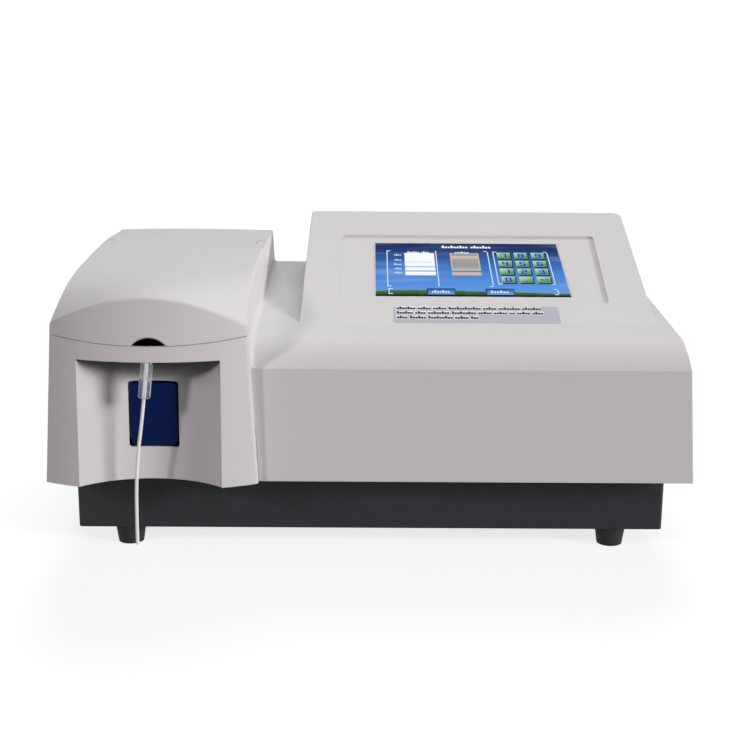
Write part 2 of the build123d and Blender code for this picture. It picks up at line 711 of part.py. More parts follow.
with BuildPart() as rear_panel:
    add(block(-215, 215, panel_y0, panel_y1, tray_top_z, panel_top_z))
    with BuildSketch(Plane.XZ.offset(-panel_y0 + 5)):
        with Locations((inlet_x, inlet_z)):
            Rectangle(inlet_w, inlet_h)
        with Locations((switch_x, switch_z)):
            Rectangle(switch_w, switch_h)
        with Locations((fan_x, fan_z)):
            Circle(fan_bore)
            with GridLocations(fan_hole_pitch, fan_hole_pitch, 2, 2):
                Circle(1.5)
        with Locations((serial_x, port_z)):
            Rectangle(20.4, 11.4)
        with Locations((usb_x, port_z)):
            Rectangle(12.4, 11.4)
        with Locations((waste_x, waste_z)):
            Circle(5)
    extrude(amount=-12, mode=Mode.SUBTRACT)
save(rear_panel.part, "rear_panel")

with BuildPart() as power_inlet:
    add(block(inlet_x - inlet_w / 2, inlet_x + inlet_w / 2, panel_y0 - 19, panel_y1,
              inlet_z - inlet_h / 2, inlet_z + inlet_h / 2))
    add(block(inlet_x - inlet_flange_w / 2, inlet_x + inlet_flange_w / 2, panel_y1, panel_y1 + 2,
              inlet_z - inlet_flange_h / 2, inlet_z + inlet_flange_h / 2))
    fillet(power_inlet.faces().sort_by(Axis.Y)[-1].edges(), 0.8)
    # socket with its two cut corners
    with BuildSketch(Plane.XZ.offset(-(panel_y1 + 2))):
        with BuildLine():
            Polyline((inlet_x - 12.2, inlet_z - 8.4), (inlet_x + 12.2, inlet_z - 8.4),
                     (inlet_x + 12.2, inlet_z + 3.4), (inlet_x + 7.2, inlet_z + 8.4),
                     (inlet_x - 7.2, inlet_z + 8.4), (inlet_x - 12.2, inlet_z + 3.4), close=True)
        make_face()
    extrude(amount=16.5, mode=Mode.SUBTRACT)
    # slots for the pins
    with Locations(*[(inlet_x + dx, panel_y0 - 17, inlet_z + dz) for dx, dz in ((-7, -2), (7, -2), (0, 2))]):
        Box(2, 14, 4, mode=Mode.SUBTRACT)
save(power_inlet.part, "power_inlet")

with BuildPart() as inlet_pins:
    for dx, dz in ((-7, -2), (7, -2), (0, 2)):
        add(block(inlet_x + dx - 1, inlet_x + dx + 1, panel_y0 - 27, panel_y1 - 2,
                  inlet_z + dz - 2, inlet_z + dz + 2))
save(inlet_pins.part, "inlet_pins")

rocker_pivot_y = panel_y1 + 0.6
rocker_half = 8.4
rocker_tilt = 8.0
rocker_depth = 2.6

with BuildPart() as power_switch:
    add(block(switch_x - switch_w / 2, switch_x + switch_w / 2, panel_y0 - 14, panel_y1,
              switch_z - switch_h / 2, switch_z + switch_h / 2))
    add(block(switch_x - switch_flange_w / 2, switch_x + switch_flange_w / 2, panel_y1, panel_y1 + 2,
              switch_z - switch_flange_h / 2, switch_z + switch_flange_h / 2))
    fillet(power_switch.faces().sort_by(Axis.Y)[-1].edges(), 0.8)
    add(block(switch_x - 5.0, switch_x + 5.0, panel_y1 - 8, panel_y1 + 3, switch_z - 9.6, switch_z + 9.6),
        mode=Mode.SUBTRACT)
    with BuildSketch(Plane.YZ.offset(switch_x - 6.2)):
        with Locations((rocker_pivot_y, switch_z)):
            Circle(1.2 + fit)
    extrude(amount=12.4, mode=Mode.SUBTRACT)
    # spade terminals
    with Locations(*[(switch_x, panel_y0 - 17, switch_z + dz) for dz in (-6, 0, 6)]):
        Box(0.8, 8, 4.8)
save(power_switch.part, "power_switch")

with BuildPart() as power_rocker:
    # shallow V face, tilted to its OFF side
    with BuildSketch(Plane.YZ.offset(switch_x - 4.8)):
        with BuildLine():
            face_drop = rocker_half * tan(radians(rocker_tilt))
            Polyline((rocker_depth, 0), (rocker_depth + face_drop, rocker_half),
                     (-3.2, rocker_half - 3), (-3.2, -rocker_half + 3),
                     (rocker_depth + face_drop, -rocker_half), close=True)
        make_face()
    extrude(amount=9.6)
    with BuildSketch(Plane.YZ.offset(switch_x - 6.0)):
        Circle(1.2)
    extrude(amount=12)
rocker = Pos(0, rocker_pivot_y, switch_z) * (Rot(X=-rocker_tilt) * power_rocker.part)
save(rocker, "power_rocker")

fan_y0, fan_y1 = panel_y0 - fan_depth, panel_y0
with BuildPart() as fan_frame:
    with BuildSketch(Plane.XZ.offset(-fan_y1)):
        with Locations((fan_x, fan_z)):
            RectangleRounded(fan_size, fan_size, 4)
            Circle(fan_bore, mode=Mode.SUBTRACT)
            with GridLocations(fan_hole_pitch, fan_hole_pitch, 2, 2):
                Circle(1.5, mode=Mode.SUBTRACT)
    extrude(amount=fan_depth)
    with BuildSketch(Plane.XZ.offset(-fan_y0)):
        with Locations((fan_x, fan_z)):
            Circle(12)
            Rectangle(2 * fan_bore + 1, 4)
            Rectangle(4, 2 * fan_bore + 1)
    extrude(amount=-2.5)
    with BuildSketch(Plane.XZ.offset(-fan_y0)):
        with Locations((fan_x, fan_z)):
            Circle(1.5 + fit)
    extrude(amount=-4, mode=Mode.SUBTRACT)
save(fan_frame.part, "fan_frame")

blade_count = 7
with BuildPart() as fan_rotor:
    with BuildSketch(Plane.XZ.offset(-(fan_y0 + 3.2))):
        with Locations((fan_x, fan_z)):
            Circle(12)
    extrude(amount=-10)
    with BuildSketch(Plane.XZ.offset(-(fan_y0 + 0.2))):
        with Locations((fan_x, fan_z)):
            Circle(1.5)
    extrude(amount=-5)
    for i in range(blade_count):
        swing = 360 / blade_count * i
        with BuildSketch(Plane.XZ.offset(-(fan_y0 + 4.0))):
            with Locations(Location((fan_x, fan_z), swing)):
                with Locations((19, 0)):
                    Rectangle(16, 2.2, rotation=8)
        extrude(amount=-8.5)
save(fan_rotor.part, "fan_rotor")

with BuildPart() as fan_guard:
    guard_y = panel_y1 + 1.0
    for radius in (9, 16, 23, 30):
        with BuildSketch(Plane.XY):
            with Locations((radius, 0)):
                Circle(0.8)
        revolve(axis=Axis.Y)
    for angle in (45, 135):
        with BuildSketch(Plane.XZ.offset(0.6)):
            Rectangle(fan_hole_pitch * 1.414 + 8, 2.4, rotation=angle)
        extrude(amount=-1.2)
    with BuildSketch(Plane.XZ.offset(1.0)):
        with GridLocations(fan_hole_pitch, fan_hole_pitch, 2, 2):
            Circle(4)
    extrude(amount=-2.0)
    with BuildSketch(Plane.XZ.offset(1.0)):
        with GridLocations(fan_hole_pitch, fan_hole_pitch, 2, 2):
            Circle(1.5)
    extrude(amount=-2.0, mode=Mode.SUBTRACT)
save(Pos(fan_x, guard_y, fan_z) * fan_guard.part, "fan_guard")

guard_front = Plane(origin=(fan_x, panel_y1 + 2.0, fan_z), x_dir=(1, 0, 0), z_dir=(0, -1, 0))
save(screws([guard_front * Location((sx * fan_hole_pitch / 2, sz * fan_hole_pitch / 2, 0))
             for sx in (-1, 1) for sz in (-1, 1)], 1.5, 2.8, 1.8, 16), "fan_screws")

with BuildPart() as serial_port:
    add(block(serial_x - 10.2, serial_x + 10.2, panel_y0 - 8, panel_y1 + 4, port_z - 5.7, port_z + 5.7))
    add(block(serial_x - 15.4, serial_x + 15.4, panel_y1, panel_y1 + 1, port_z - 6.2, port_z + 6.2))
    fillet(serial_port.edges().filter_by(Axis.Y).filter_by(lambda e: e.center().Y > panel_y1 + 1.5), 2.2)
    with BuildSketch(Plane.XZ.offset(-(panel_y1 + 4))):
        with Locations((serial_x, port_z)):
            RectangleRounded(18.6, 9.6, 2)
            RectangleRounded(16.2, 7.2, 1.6, mode=Mode.SUBTRACT)
    extrude(amount=3.6, mode=Mode.SUBTRACT)
    with Locations(*[(serial_x + sx * 12.6, panel_y1 + 2, port_z) for sx in (-1, 1)]):
        Box(4, 4, 4)
save(serial_port.part, "serial_port")

with BuildPart() as usb_port:
    add(block(usb_x - 6.2, usb_x + 6.2, panel_y0 - 14, panel_y1 + 1, port_z - 5.7, port_z + 5.7))
    with BuildSketch(Plane.XZ.offset(-(panel_y1 + 1))):
        with Locations((usb_x, port_z)):
            Rectangle(9.0, 8.0)
            Rectangle(5.6, 3.2, mode=Mode.SUBTRACT)
    extrude(amount=9, mode=Mode.SUBTRACT)
save(usb_port.part, "usb_port")

with BuildPart() as waste_outlet:
    with BuildSketch(Plane.XZ.offset(-(panel_y0 - 10))):
        with Locations((waste_x, waste_z)):
            Circle(waste_radius)
    extrude(amount=-(rear_y - 1.0 - panel_y0 + 10))
    with BuildSketch(Plane.XZ.offset(-(panel_y0 - 2))):
        with Locations((waste_x, waste_z)):
            Circle(5)
    extrude(amount=-3.5)
    with BuildSketch(Plane.XZ.offset(-panel_y1)):
        with Locations((waste_x, waste_z)):
            RegularPolygon(6.5, 6)
    extrude(amount=-2.0)
    with BuildSketch(Plane.XZ.offset(-panel_y0)):
        with Locations((waste_x, waste_z)):
            RegularPolygon(6.5, 6)
    extrude(amount=3.0)
    with BuildSketch(Plane.XZ.offset(-(rear_y - 1.0))):
        with Locations((waste_x, waste_z)):
            Circle(1.8)
    extrude(amount=rear_y - 1.0 - panel_y0 + 6, mode=Mode.SUBTRACT)
save(waste_outlet.part, "waste_outlet")

# ---------------------------------------------------------------- optics
bench_x0, bench_x1 = -190.0, 4.0
bench_y0, bench_y1 = beam_y - 26, beam_y + 26
upright_x0, upright_x1 = -64.0, -58.0
shaft_radius = 2.5
beam_plane = Plane(origin=(0, beam_y, beam_z), x_dir=(0, 1, 0), z_dir=(1, 0, 0))
wheel_plane = Plane(origin=(0, beam_y, wheel_z), x_dir=(0, 1, 0), z_dir=(1, 0, 0))
cell_block_x0, cell_block_x1 = cell_x - 20, cell_x + 20
cell_block_z0, cell_block_z1 = 84.0, 142.0

with BuildPart() as optical_bench:
    add(block(bench_x0, bench_x1, bench_y0, bench_y1, bench_top_z - 8, bench_top_z))
    with Locations(*[(x, y, tray_floor_z) for x in (bench_x0 + 8, bench_x1 - 8)
                     for y in (bench_y0 + 8, bench_y1 - 8)]):
        Cylinder(5, bench_top_z - 8 - tray_floor_z, align=(Align.CENTER, Align.CENTER, Align.MIN))
    # upright for the lens, the lamp house and the wheel's motor
    add(block(upright_x0, upright_x1, bench_y0, bench_y1, bench_top_z, beam_z + 30))
    # pedestal under the flow cell block
    add(block(cell_x - 13, cell_x + 13, beam_y - 12, beam_y + 12, bench_top_z, cell_block_z0))
    with BuildSketch(beam_plane.offset(upright_x0 - 1)):
        Circle(7)
    extrude(amount=8, mode=Mode.SUBTRACT)
    with BuildSketch(wheel_plane.offset(upright_x0 - 1)):
        Circle(shaft_radius + 1.5)
    extrude(amount=8, mode=Mode.SUBTRACT)
    # the wheel dips into a slot in the bench
    add(block(wheel_x0 - 2, wheel_x1 + 2, bench_y0 + 8, bench_y1 - 8, bench_top_z - 4, bench_top_z + 1),
        mode=Mode.SUBTRACT)
save(optical_bench.part, "optical_bench")

with BuildPart() as condenser_lens:
    with BuildSketch(beam_plane.offset(upright_x0 + 1)):
        Circle(7)
    extrude(amount=4)
    with Locations(Location((upright_x0 + 3, beam_y, beam_z), (0, 90, 0))):
        Cylinder(6.4, 5.2)
save(condenser_lens.part, "condenser_lens")

house_x0, house_x1 = upright_x1, upright_x1 + 44
house_z0, house_z1 = 90.5, 136.0
with BuildPart() as lamp_house:
    add(block(house_x0, house_x1, beam_y - 20, beam_y + 20, house_z0, house_z1))
    add(block(house_x0 + 2.5, house_x1 - 2.5, beam_y - 17.5, beam_y + 17.5, house_z0 + 2.5, house_z1 - 2.5),
        mode=Mode.SUBTRACT)
    with BuildSketch(beam_plane.offset(house_x0 - 1)):
        Circle(7)
    extrude(amount=5, mode=Mode.SUBTRACT)
    with BuildSketch(beam_plane.offset(house_x1 - 3)):
        Circle(6)
    extrude(amount=5, mode=Mode.SUBTRACT)
    with Locations(*[(house_x0 + 22, y, house_z1) for y in range(int(beam_y) - 12, int(beam_y) + 13, 6)]):
        Box(30, 3, 8, mode=Mode.SUBTRACT)
save(lamp_house.part, "lamp_house")

with BuildPart() as lamp_socket:
    with BuildSketch(beam_plane.offset(house_x1 + 6)):
        Circle(9)
    extrude(amount=-6)
    with BuildSketch(beam_plane.offset(house_x1)):
        Circle(6)
    extrude(amount=-10)
save(lamp_socket.part, "lamp_socket")

bulb_radius, bulb_x0 = 4.8, house_x0 + 10
with BuildPart() as halogen_lamp:
    with BuildSketch(Plane.XZ.offset(-beam_y)):
        with BuildLine():
            tip = RadiusArc((bulb_x0, beam_z), (bulb_x0 + bulb_radius, beam_z + bulb_radius), bulb_radius)
            Polyline(tip @ 1, (house_x1 - 16, beam_z + bulb_radius), (house_x1 - 12, beam_z + 3),
                     (house_x1 - 10, beam_z + 3), (house_x1 - 10, beam_z), tip @ 0)
        make_face()
    revolve(axis=Axis((0, beam_y, beam_z), (1, 0, 0)))
save(halogen_lamp.part, "halogen_lamp")

filter_count = 8
filter_radius = 6.0
with BuildPart() as filter_wheel:
    with BuildSketch(wheel_plane.offset(wheel_x0)):
        Circle(wheel_radius)
        with PolarLocations(filter_circle, filter_count, start_angle=90):
            Circle(filter_radius, mode=Mode.SUBTRACT)
        Circle(shaft_radius, mode=Mode.SUBTRACT)
    extrude(amount=wheel_x1 - wheel_x0)
    with BuildSketch(wheel_plane.offset(wheel_x0)):
        Circle(9)
        Circle(shaft_radius, mode=Mode.SUBTRACT)
    extrude(amount=-3)
save(filter_wheel.part, "filter_wheel")

with BuildPart() as optical_filters:
    with BuildSketch(wheel_plane.offset(wheel_x0 + 0.5)):
        with PolarLocations(filter_circle, filter_count, start_angle=90):
            Circle(filter_radius)
    extrude(amount=wheel_x1 - wheel_x0 - 1)
save(optical_filters.part, "optical_filters")

with BuildPart() as filter_motor:
    with BuildSketch(wheel_plane.offset(upright_x1)):
        RectangleRounded(35, 35, 3)
        Circle(shaft_radius + fit, mode=Mode.SUBTRACT)
    extrude(amount=22)
    with BuildSketch(wheel_plane.offset(upright_x1 + 22)):
        RectangleRounded(35, 35, 3)
    extrude(amount=8)
save(filter_motor.part, "filter_motor")

with BuildPart() as filter_wheel_shaft:
    with BuildSketch(wheel_plane.offset(wheel_x0 - 3)):
        Circle(shaft_radius)
    extrude(amount=upright_x1 + 20 - wheel_x0 + 3)
save(filter_wheel_shaft.part, "filter_wheel_shaft")

cell_half = 5.0
with BuildPart() as flow_cell_block:
    add(block(cell_block_x0, cell_block_x1, beam_y - 17, beam_y + 17, cell_block_z0, cell_block_z1))
    fillet(flow_cell_block.edges().filter_by(Axis.Z), 2)
    add(block(cell_x - cell_half, cell_x + cell_half, beam_y - cell_half, beam_y + cell_half,
              beam_z - 12, cell_block_z1 + 1), mode=Mode.SUBTRACT)
    # barrel that leads the light in from the wheel
    with BuildSketch(beam_plane.offset(cell_block_x1)):
        Circle(6)
    extrude(amount=wheel_x0 - 6 - cell_block_x1)
    with BuildSketch(beam_plane.offset(cell_block_x0 - 1)):
        Circle(3)
    extrude(amount=wheel_x0 - cell_block_x0, mode=Mode.SUBTRACT)
save(flow_cell_block.part, "flow_cell_block")

with BuildPart() as flow_cell:
    add(block(cell_x - cell_half, cell_x + cell_half, beam_y - cell_half, beam_y + cell_half,
              beam_z - 12, cell_block_z1))
    add(block(cell_x - 4, cell_x + 4, beam_y - 1, beam_y + 1, beam_z - 6, cell_block_z1 + 1),
        mode=Mode.SUBTRACT)
save(flow_cell.part, "flow_cell")

cap_top_z = cell_block_z1 + 8
port_offset = 3.2
with BuildPart() as flow_cell_cap:
    add(block(cell_x - 12, cell_x + 12, beam_y - 10, beam_y + 10, cell_block_z1, cap_top_z))
    fillet(flow_cell_cap.edges().filter_by(Axis.Z), 2)
    fillet(flow_cell_cap.faces().sort_by(Axis.Z)[-1].edges(), 1)
    with BuildSketch(Plane.XY.offset(cap_top_z)):
        with Locations((cell_x - port_offset, beam_y), (cell_x + port_offset, beam_y)):
            Circle(2.2)
    extrude(amount=4)
    with BuildSketch(Plane.XY.offset(cap_top_z + 4)):
        with Locations((cell_x - port_offset, beam_y), (cell_x + port_offset, beam_y)):
            Circle(0.8)
    extrude(amount=-12, mode=Mode.SUBTRACT)
save(flow_cell_cap.part, "flow_cell_cap")

peltier_y0, peltier_y1 = beam_y + 17, beam_y + 20.4
sink_y1 = peltier_y1 + 22
with BuildPart() as peltier_module:
    add(block(cell_x - 15, cell_x + 15, peltier_y0, peltier_y1, cell_block_z0, cell_block_z0 + 30))
save(peltier_module.part, "peltier_module")

with BuildPart() as heat_sink:
    add(block(cell_x - 20, cell_x + 20, peltier_y1, peltier_y1 + 4, cell_block_z0 - 4, cell_block_z0 + 30))
    with Locations(*[(cell_x + dx, (peltier_y1 + sink_y1) / 2, cell_block_z0 + 13)
                     for dx in range(-18, 19, 6)]):
        Box(1.6, sink_y1 - peltier_y1, 34)
save(heat_sink.part, "heat_sink")

with BuildPart() as detector_board:
    add(block(cell_block_x0 - 5.6, cell_block_x0 - 4, beam_y - 17, beam_y + 17, beam_z - 18, beam_z + 8))
    with BuildSketch(beam_plane.offset(cell_block_x0)):
        Circle(4.5)
    extrude(amount=-4)
save(detector_board.part, "detector_board")

# ---------------------------------------------------------------- bay under the lid, with the pump
bay_x0, bay_x1 = -214.0, -90.5
bay_y0, bay_y1 = -108.0, 56.0
bay_top_z = 158.0
bay_wall = 1.6
pump_top_z = bay_floor_z + 26
shell_radius = 30.0
pump_centre = (pump_x, pump_y)

with BuildPart() as bay_tray:
    add(block(bay_x0, bay_x1, bay_y0, bay_y1, bay_floor_z - 2, bay_top_z))
    fillet(bay_tray.edges().filter_by(Axis.Z), 4)
    add(block(bay_x0 + bay_wall, bay_x1 - bay_wall, bay_y0 + bay_wall, bay_y1 - bay_wall,
              bay_floor_z, bay_top_z + 1), mode=Mode.SUBTRACT)
    add(block(cell_block_x0 - 1, cell_block_x1 + 1, beam_y - 18, beam_y + 18, 100, 140),
        mode=Mode.SUBTRACT)
    with Locations((pump_x, pump_y, bay_floor_z)):
        Cylinder(8, 10, mode=Mode.SUBTRACT)
save(bay_tray.part, "bay_tray")

rotor_z0, rotor_z1 = bay_floor_z + 5.0, bay_floor_z + 22.0
plate = 3.0
pump_shaft_radius = 3.0
pin_radius = 1.5

with BuildPart() as pump_body:
    with BuildSketch(Plane.XY.offset(bay_floor_z)):
        with Locations(pump_centre):
            Circle(shell_radius)
    extrude(amount=pump_top_z - bay_floor_z)
    with BuildSketch(Plane.XY.offset(bay_floor_z + 4)):
        with Locations(pump_centre):
            Circle(pump_tube_circle + pump_tube_radius)
    extrude(amount=pump_top_z - bay_floor_z - 4, mode=Mode.SUBTRACT)
    # open towards the flow cell, where the tube goes in and out
    add(block(pump_x - pump_tube_circle - pump_tube_radius, pump_x + pump_tube_circle + pump_tube_radius,
              pump_y - shell_radius - 1, pump_y, bay_floor_z + 4, pump_top_z + 1), mode=Mode.SUBTRACT)
    with Locations((pump_x, pump_y, bay_floor_z)):
        Cylinder(pump_shaft_radius + fit, 20, mode=Mode.SUBTRACT)
save(pump_body.part, "pump_body")

with BuildPart() as pump_rotor:
    with BuildSketch(Plane.XY.offset(rotor_z0)):
        with Locations(pump_centre):
            Circle(17.5)
    extrude(amount=plate)
    with BuildSketch(Plane.XY.offset(rotor_z1 - plate)):
        with Locations(pump_centre):
            Circle(17.5)
    extrude(amount=plate)
    with BuildSketch(Plane.XY.offset(rotor_z0)):
        with Locations(pump_centre):
            Circle(7)
            with PolarLocations(roller_circle, 3, start_angle=90):
                Circle(pin_radius)
    extrude(amount=rotor_z1 - rotor_z0)
    with BuildSketch(Plane.XY.offset(bay_floor_z - 24)):
        with Locations(pump_centre):
            Circle(pump_shaft_radius)
    extrude(amount=24 + rotor_z0 - bay_floor_z)
    # star knob on top
    with BuildSketch(Plane.XY.offset(rotor_z1)):
        with Locations(pump_centre):
            Circle(6)
            with PolarLocations(6, 5):
                Circle(2)
    extrude(amount=4)
save(pump_rotor.part, "pump_rotor")

roller_z0, roller_z1 = rotor_z0 + plate + 0.3, rotor_z1 - plate - 0.3
for i in range(3):
    angle = radians(90 + 120 * i)
    with BuildPart() as pump_roller:
        with BuildSketch(Plane.XY.offset(roller_z0)):
            with Locations((pump_x + roller_circle * cos(angle), pump_y + roller_circle * sin(angle))):
                Circle(roller_radius)
                Circle(pin_radius + fit, mode=Mode.SUBTRACT)
        extrude(amount=roller_z1 - roller_z0)
    save(pump_roller.part, f"pump_roller_{i + 1}")

tube_z = (rotor_z0 + rotor_z1) / 2
tail_y = pump_y - shell_radius + 3
with BuildPart() as pump_tube:
    with BuildLine():
        tail_in = Line((pump_x - pump_tube_circle, tail_y, tube_z),
                       (pump_x - pump_tube_circle, pump_y, tube_z))
        track = ThreePointArc(tail_in @ 1, (pump_x, pump_y + pump_tube_circle, tube_z),
                              (pump_x + pump_tube_circle, pump_y, tube_z))
        Line(track @ 1, (pump_x + pump_tube_circle, tail_y, tube_z))
    with BuildSketch(Plane(origin=(pump_x - pump_tube_circle, tail_y, tube_z), z_dir=(0, 1, 0))):
        Circle(pump_tube_radius)
    sweep()
save(pump_tube.part, "pump_tube")

with BuildPart() as pump_cover:
    with BuildSketch(Plane.XY.offset(pump_top_z + 2.6)):
        with Locations(pump_centre):
            Circle(shell_radius)
    extrude(amount=2)
    with BuildSketch(Plane.XY.offset(pump_top_z)):
        with Locations(pump_centre):
            Circle(shell_radius)
            Circle(shell_radius - 3, mode=Mode.SUBTRACT)
    extrude(amount=2.6)
save(pump_cover.part, "pump_cover")

with BuildPart() as pump_motor:
    with BuildSketch(Plane.XY.offset(bay_floor_z - 2)):
        with Locations(pump_centre):
            Circle(17)
            Circle(pump_shaft_radius + fit, mode=Mode.SUBTRACT)
    extrude(amount=-24)
    with BuildSketch(Plane.XY.offset(bay_floor_z - 26)):
        with Locations(pump_centre):
            Circle(17)
    extrude(amount=-16)
save(pump_motor.part, "pump_motor")

inlet_tube_route = [
    (elbow_end.X, elbow_end.Y, elbow_end.Z),
    (elbow_end.X, -127.0, elbow_end.Z),
    (cell_x - port_offset, -108.0, 161.0),
    (cell_x - port_offset, -84.0, 166.0),
    (cell_x - port_offset, beam_y, 163.5),
    (cell_x - port_offset, beam_y, cap_top_z + 4),
]
save(tube_along(inlet_tube_route, 1.6), "inlet_tube")

cell_tube_route = [
    (cell_x + port_offset, beam_y, cap_top_z + 4),
    (cell_x + port_offset, beam_y, 162.0),
    (cell_x + 8, beam_y + 12, 164.0),
    (pump_x - pump_tube_circle + 14, -38.0, 150.0),
    (pump_x - pump_tube_circle, -28.0, tube_z),
    (pump_x - pump_tube_circle, tail_y, tube_z),
]
cell_tube = tube_along(cell_tube_route, 1.6)
save(cell_tube, "cell_tube")

# ---------------------------------------------------------------- electronics
with BuildPart() as main_board:
    add(block(board_x0, board_x1, board_y0, board_y1, board_z, board_z + 1.6))
    chips = ((60, -60, 24, 24, 3), (100, -20, 14, 30, 3.5), (150, -60, 20, 12, 3), (120, -70, 10, 10, 2.5))
    for x, y, w, d, h in chips:
        add(block(x - w / 2, x + w / 2, y - d / 2, y + d / 2, board_z + 1.6, board_z + 1.6 + h))
    with Locations(*[(x, 4, board_z + 1.6) for x in (160, 172, 184)]):
        Cylinder(4, 14, align=(Align.CENTER, Align.CENTER, Align.MIN))
    with Locations(*[(x, -91, board_z + 5.6) for x in (50, 90, 150)]):
        Box(26, 6, 8)
    with Locations(*[(x, y, board_z) for x, y in board_holes]):
        Cylinder(1.6, 8, mode=Mode.SUBTRACT)
save(main_board.part, "main_board")

psu_x0, psu_x1, psu_y0, psu_y1 = 100.0, 200.0, 34.0, 134.0
with BuildPart() as power_supply:
    add(block(psu_x0, psu_x1, psu_y0, psu_y1, tray_floor_z, tray_floor_z + 38))
    fillet(power_supply.edges().filter_by(Axis.Z), 1.5)
    with Locations(*[(x, y, tray_floor_z + 38) for x in range(112, 190, 8) for y in range(46, 110, 16)]):
        Box(3, 10, 3, mode=Mode.SUBTRACT)
    add(block(psu_x0 + 6, psu_x1 - 20, psu_y1 - 16, psu_y1 + 1, tray_floor_z + 16, tray_floor_z + 39),
        mode=Mode.SUBTRACT)
    with Locations(*[(psu_x0 + 14 + 10 * i, psu_y1 - 8, tray_floor_z + 20) for i in range(7)]):
        Box(8.4, 14, 8)
save(power_supply.part, "power_supply")
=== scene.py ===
"""Looks for the bench spectrophotometer: camera, tubes, display picture, sticker print, finishes and studio.

Lengths written in this script are millimetres, turned into metres where they meet Blender.
+X is right, +Y is the rear, +Z is up, and the origin is under the middle of the instrument.
"""
import json
from math import cos, radians, sin

import bmesh
import bpy
from mathutils import Matrix, Vector


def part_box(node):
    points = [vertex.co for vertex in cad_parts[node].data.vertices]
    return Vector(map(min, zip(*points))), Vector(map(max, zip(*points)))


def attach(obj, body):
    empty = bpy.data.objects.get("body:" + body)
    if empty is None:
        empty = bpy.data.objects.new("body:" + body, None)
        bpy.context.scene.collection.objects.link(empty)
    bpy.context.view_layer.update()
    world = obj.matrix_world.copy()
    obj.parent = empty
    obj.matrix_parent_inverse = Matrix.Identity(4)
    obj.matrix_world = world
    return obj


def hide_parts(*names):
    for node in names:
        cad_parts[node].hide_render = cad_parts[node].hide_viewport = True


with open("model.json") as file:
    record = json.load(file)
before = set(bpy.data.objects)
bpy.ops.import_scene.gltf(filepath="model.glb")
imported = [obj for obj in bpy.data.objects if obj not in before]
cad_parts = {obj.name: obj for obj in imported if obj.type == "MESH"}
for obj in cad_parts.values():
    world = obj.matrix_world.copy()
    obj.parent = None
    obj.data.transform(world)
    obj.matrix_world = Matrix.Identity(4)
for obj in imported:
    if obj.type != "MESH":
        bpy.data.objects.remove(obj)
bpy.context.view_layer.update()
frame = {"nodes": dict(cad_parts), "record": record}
nodes = frame["nodes"]
scene = bpy.context.scene
MM = 0.001


# ---------------------------------------------------------------- camera
CAMERA_PLACE = Vector((-5.0, -1093.1, 393.5)) * MM
CAMERA_PITCH, CAMERA_YAW, CAMERA_ROLL = radians(15.137), radians(-0.419), radians(0.458)
CAMERA_LENS = 69.53

level = Vector((-sin(CAMERA_YAW), cos(CAMERA_YAW), 0))
side = Vector((cos(CAMERA_YAW), sin(CAMERA_YAW), 0))
forward = level * cos(CAMERA_PITCH) - Vector((0, 0, sin(CAMERA_PITCH)))
upright = level * sin(CAMERA_PITCH) + Vector((0, 0, cos(CAMERA_PITCH)))
right = side * cos(CAMERA_ROLL) + upright * sin(CAMERA_ROLL)
top = upright * cos(CAMERA_ROLL) - side * sin(CAMERA_ROLL)
camera_data = bpy.data.cameras.new("camera")
camera_data.lens = CAMERA_LENS
camera_data.clip_end = 400
camera = bpy.data.objects.new("camera", camera_data)
camera.matrix_world = Matrix.Translation(CAMERA_PLACE) @ Matrix((right, top, -forward)).transposed().to_4x4()
scene.collection.objects.link(camera)
scene.camera = camera


# ---------------------------------------------------------------- finishes
def new_material(name):
    material = bpy.data.materials.new(name)
    material.use_nodes = True
    return material, material.node_tree.nodes, material.node_tree.links


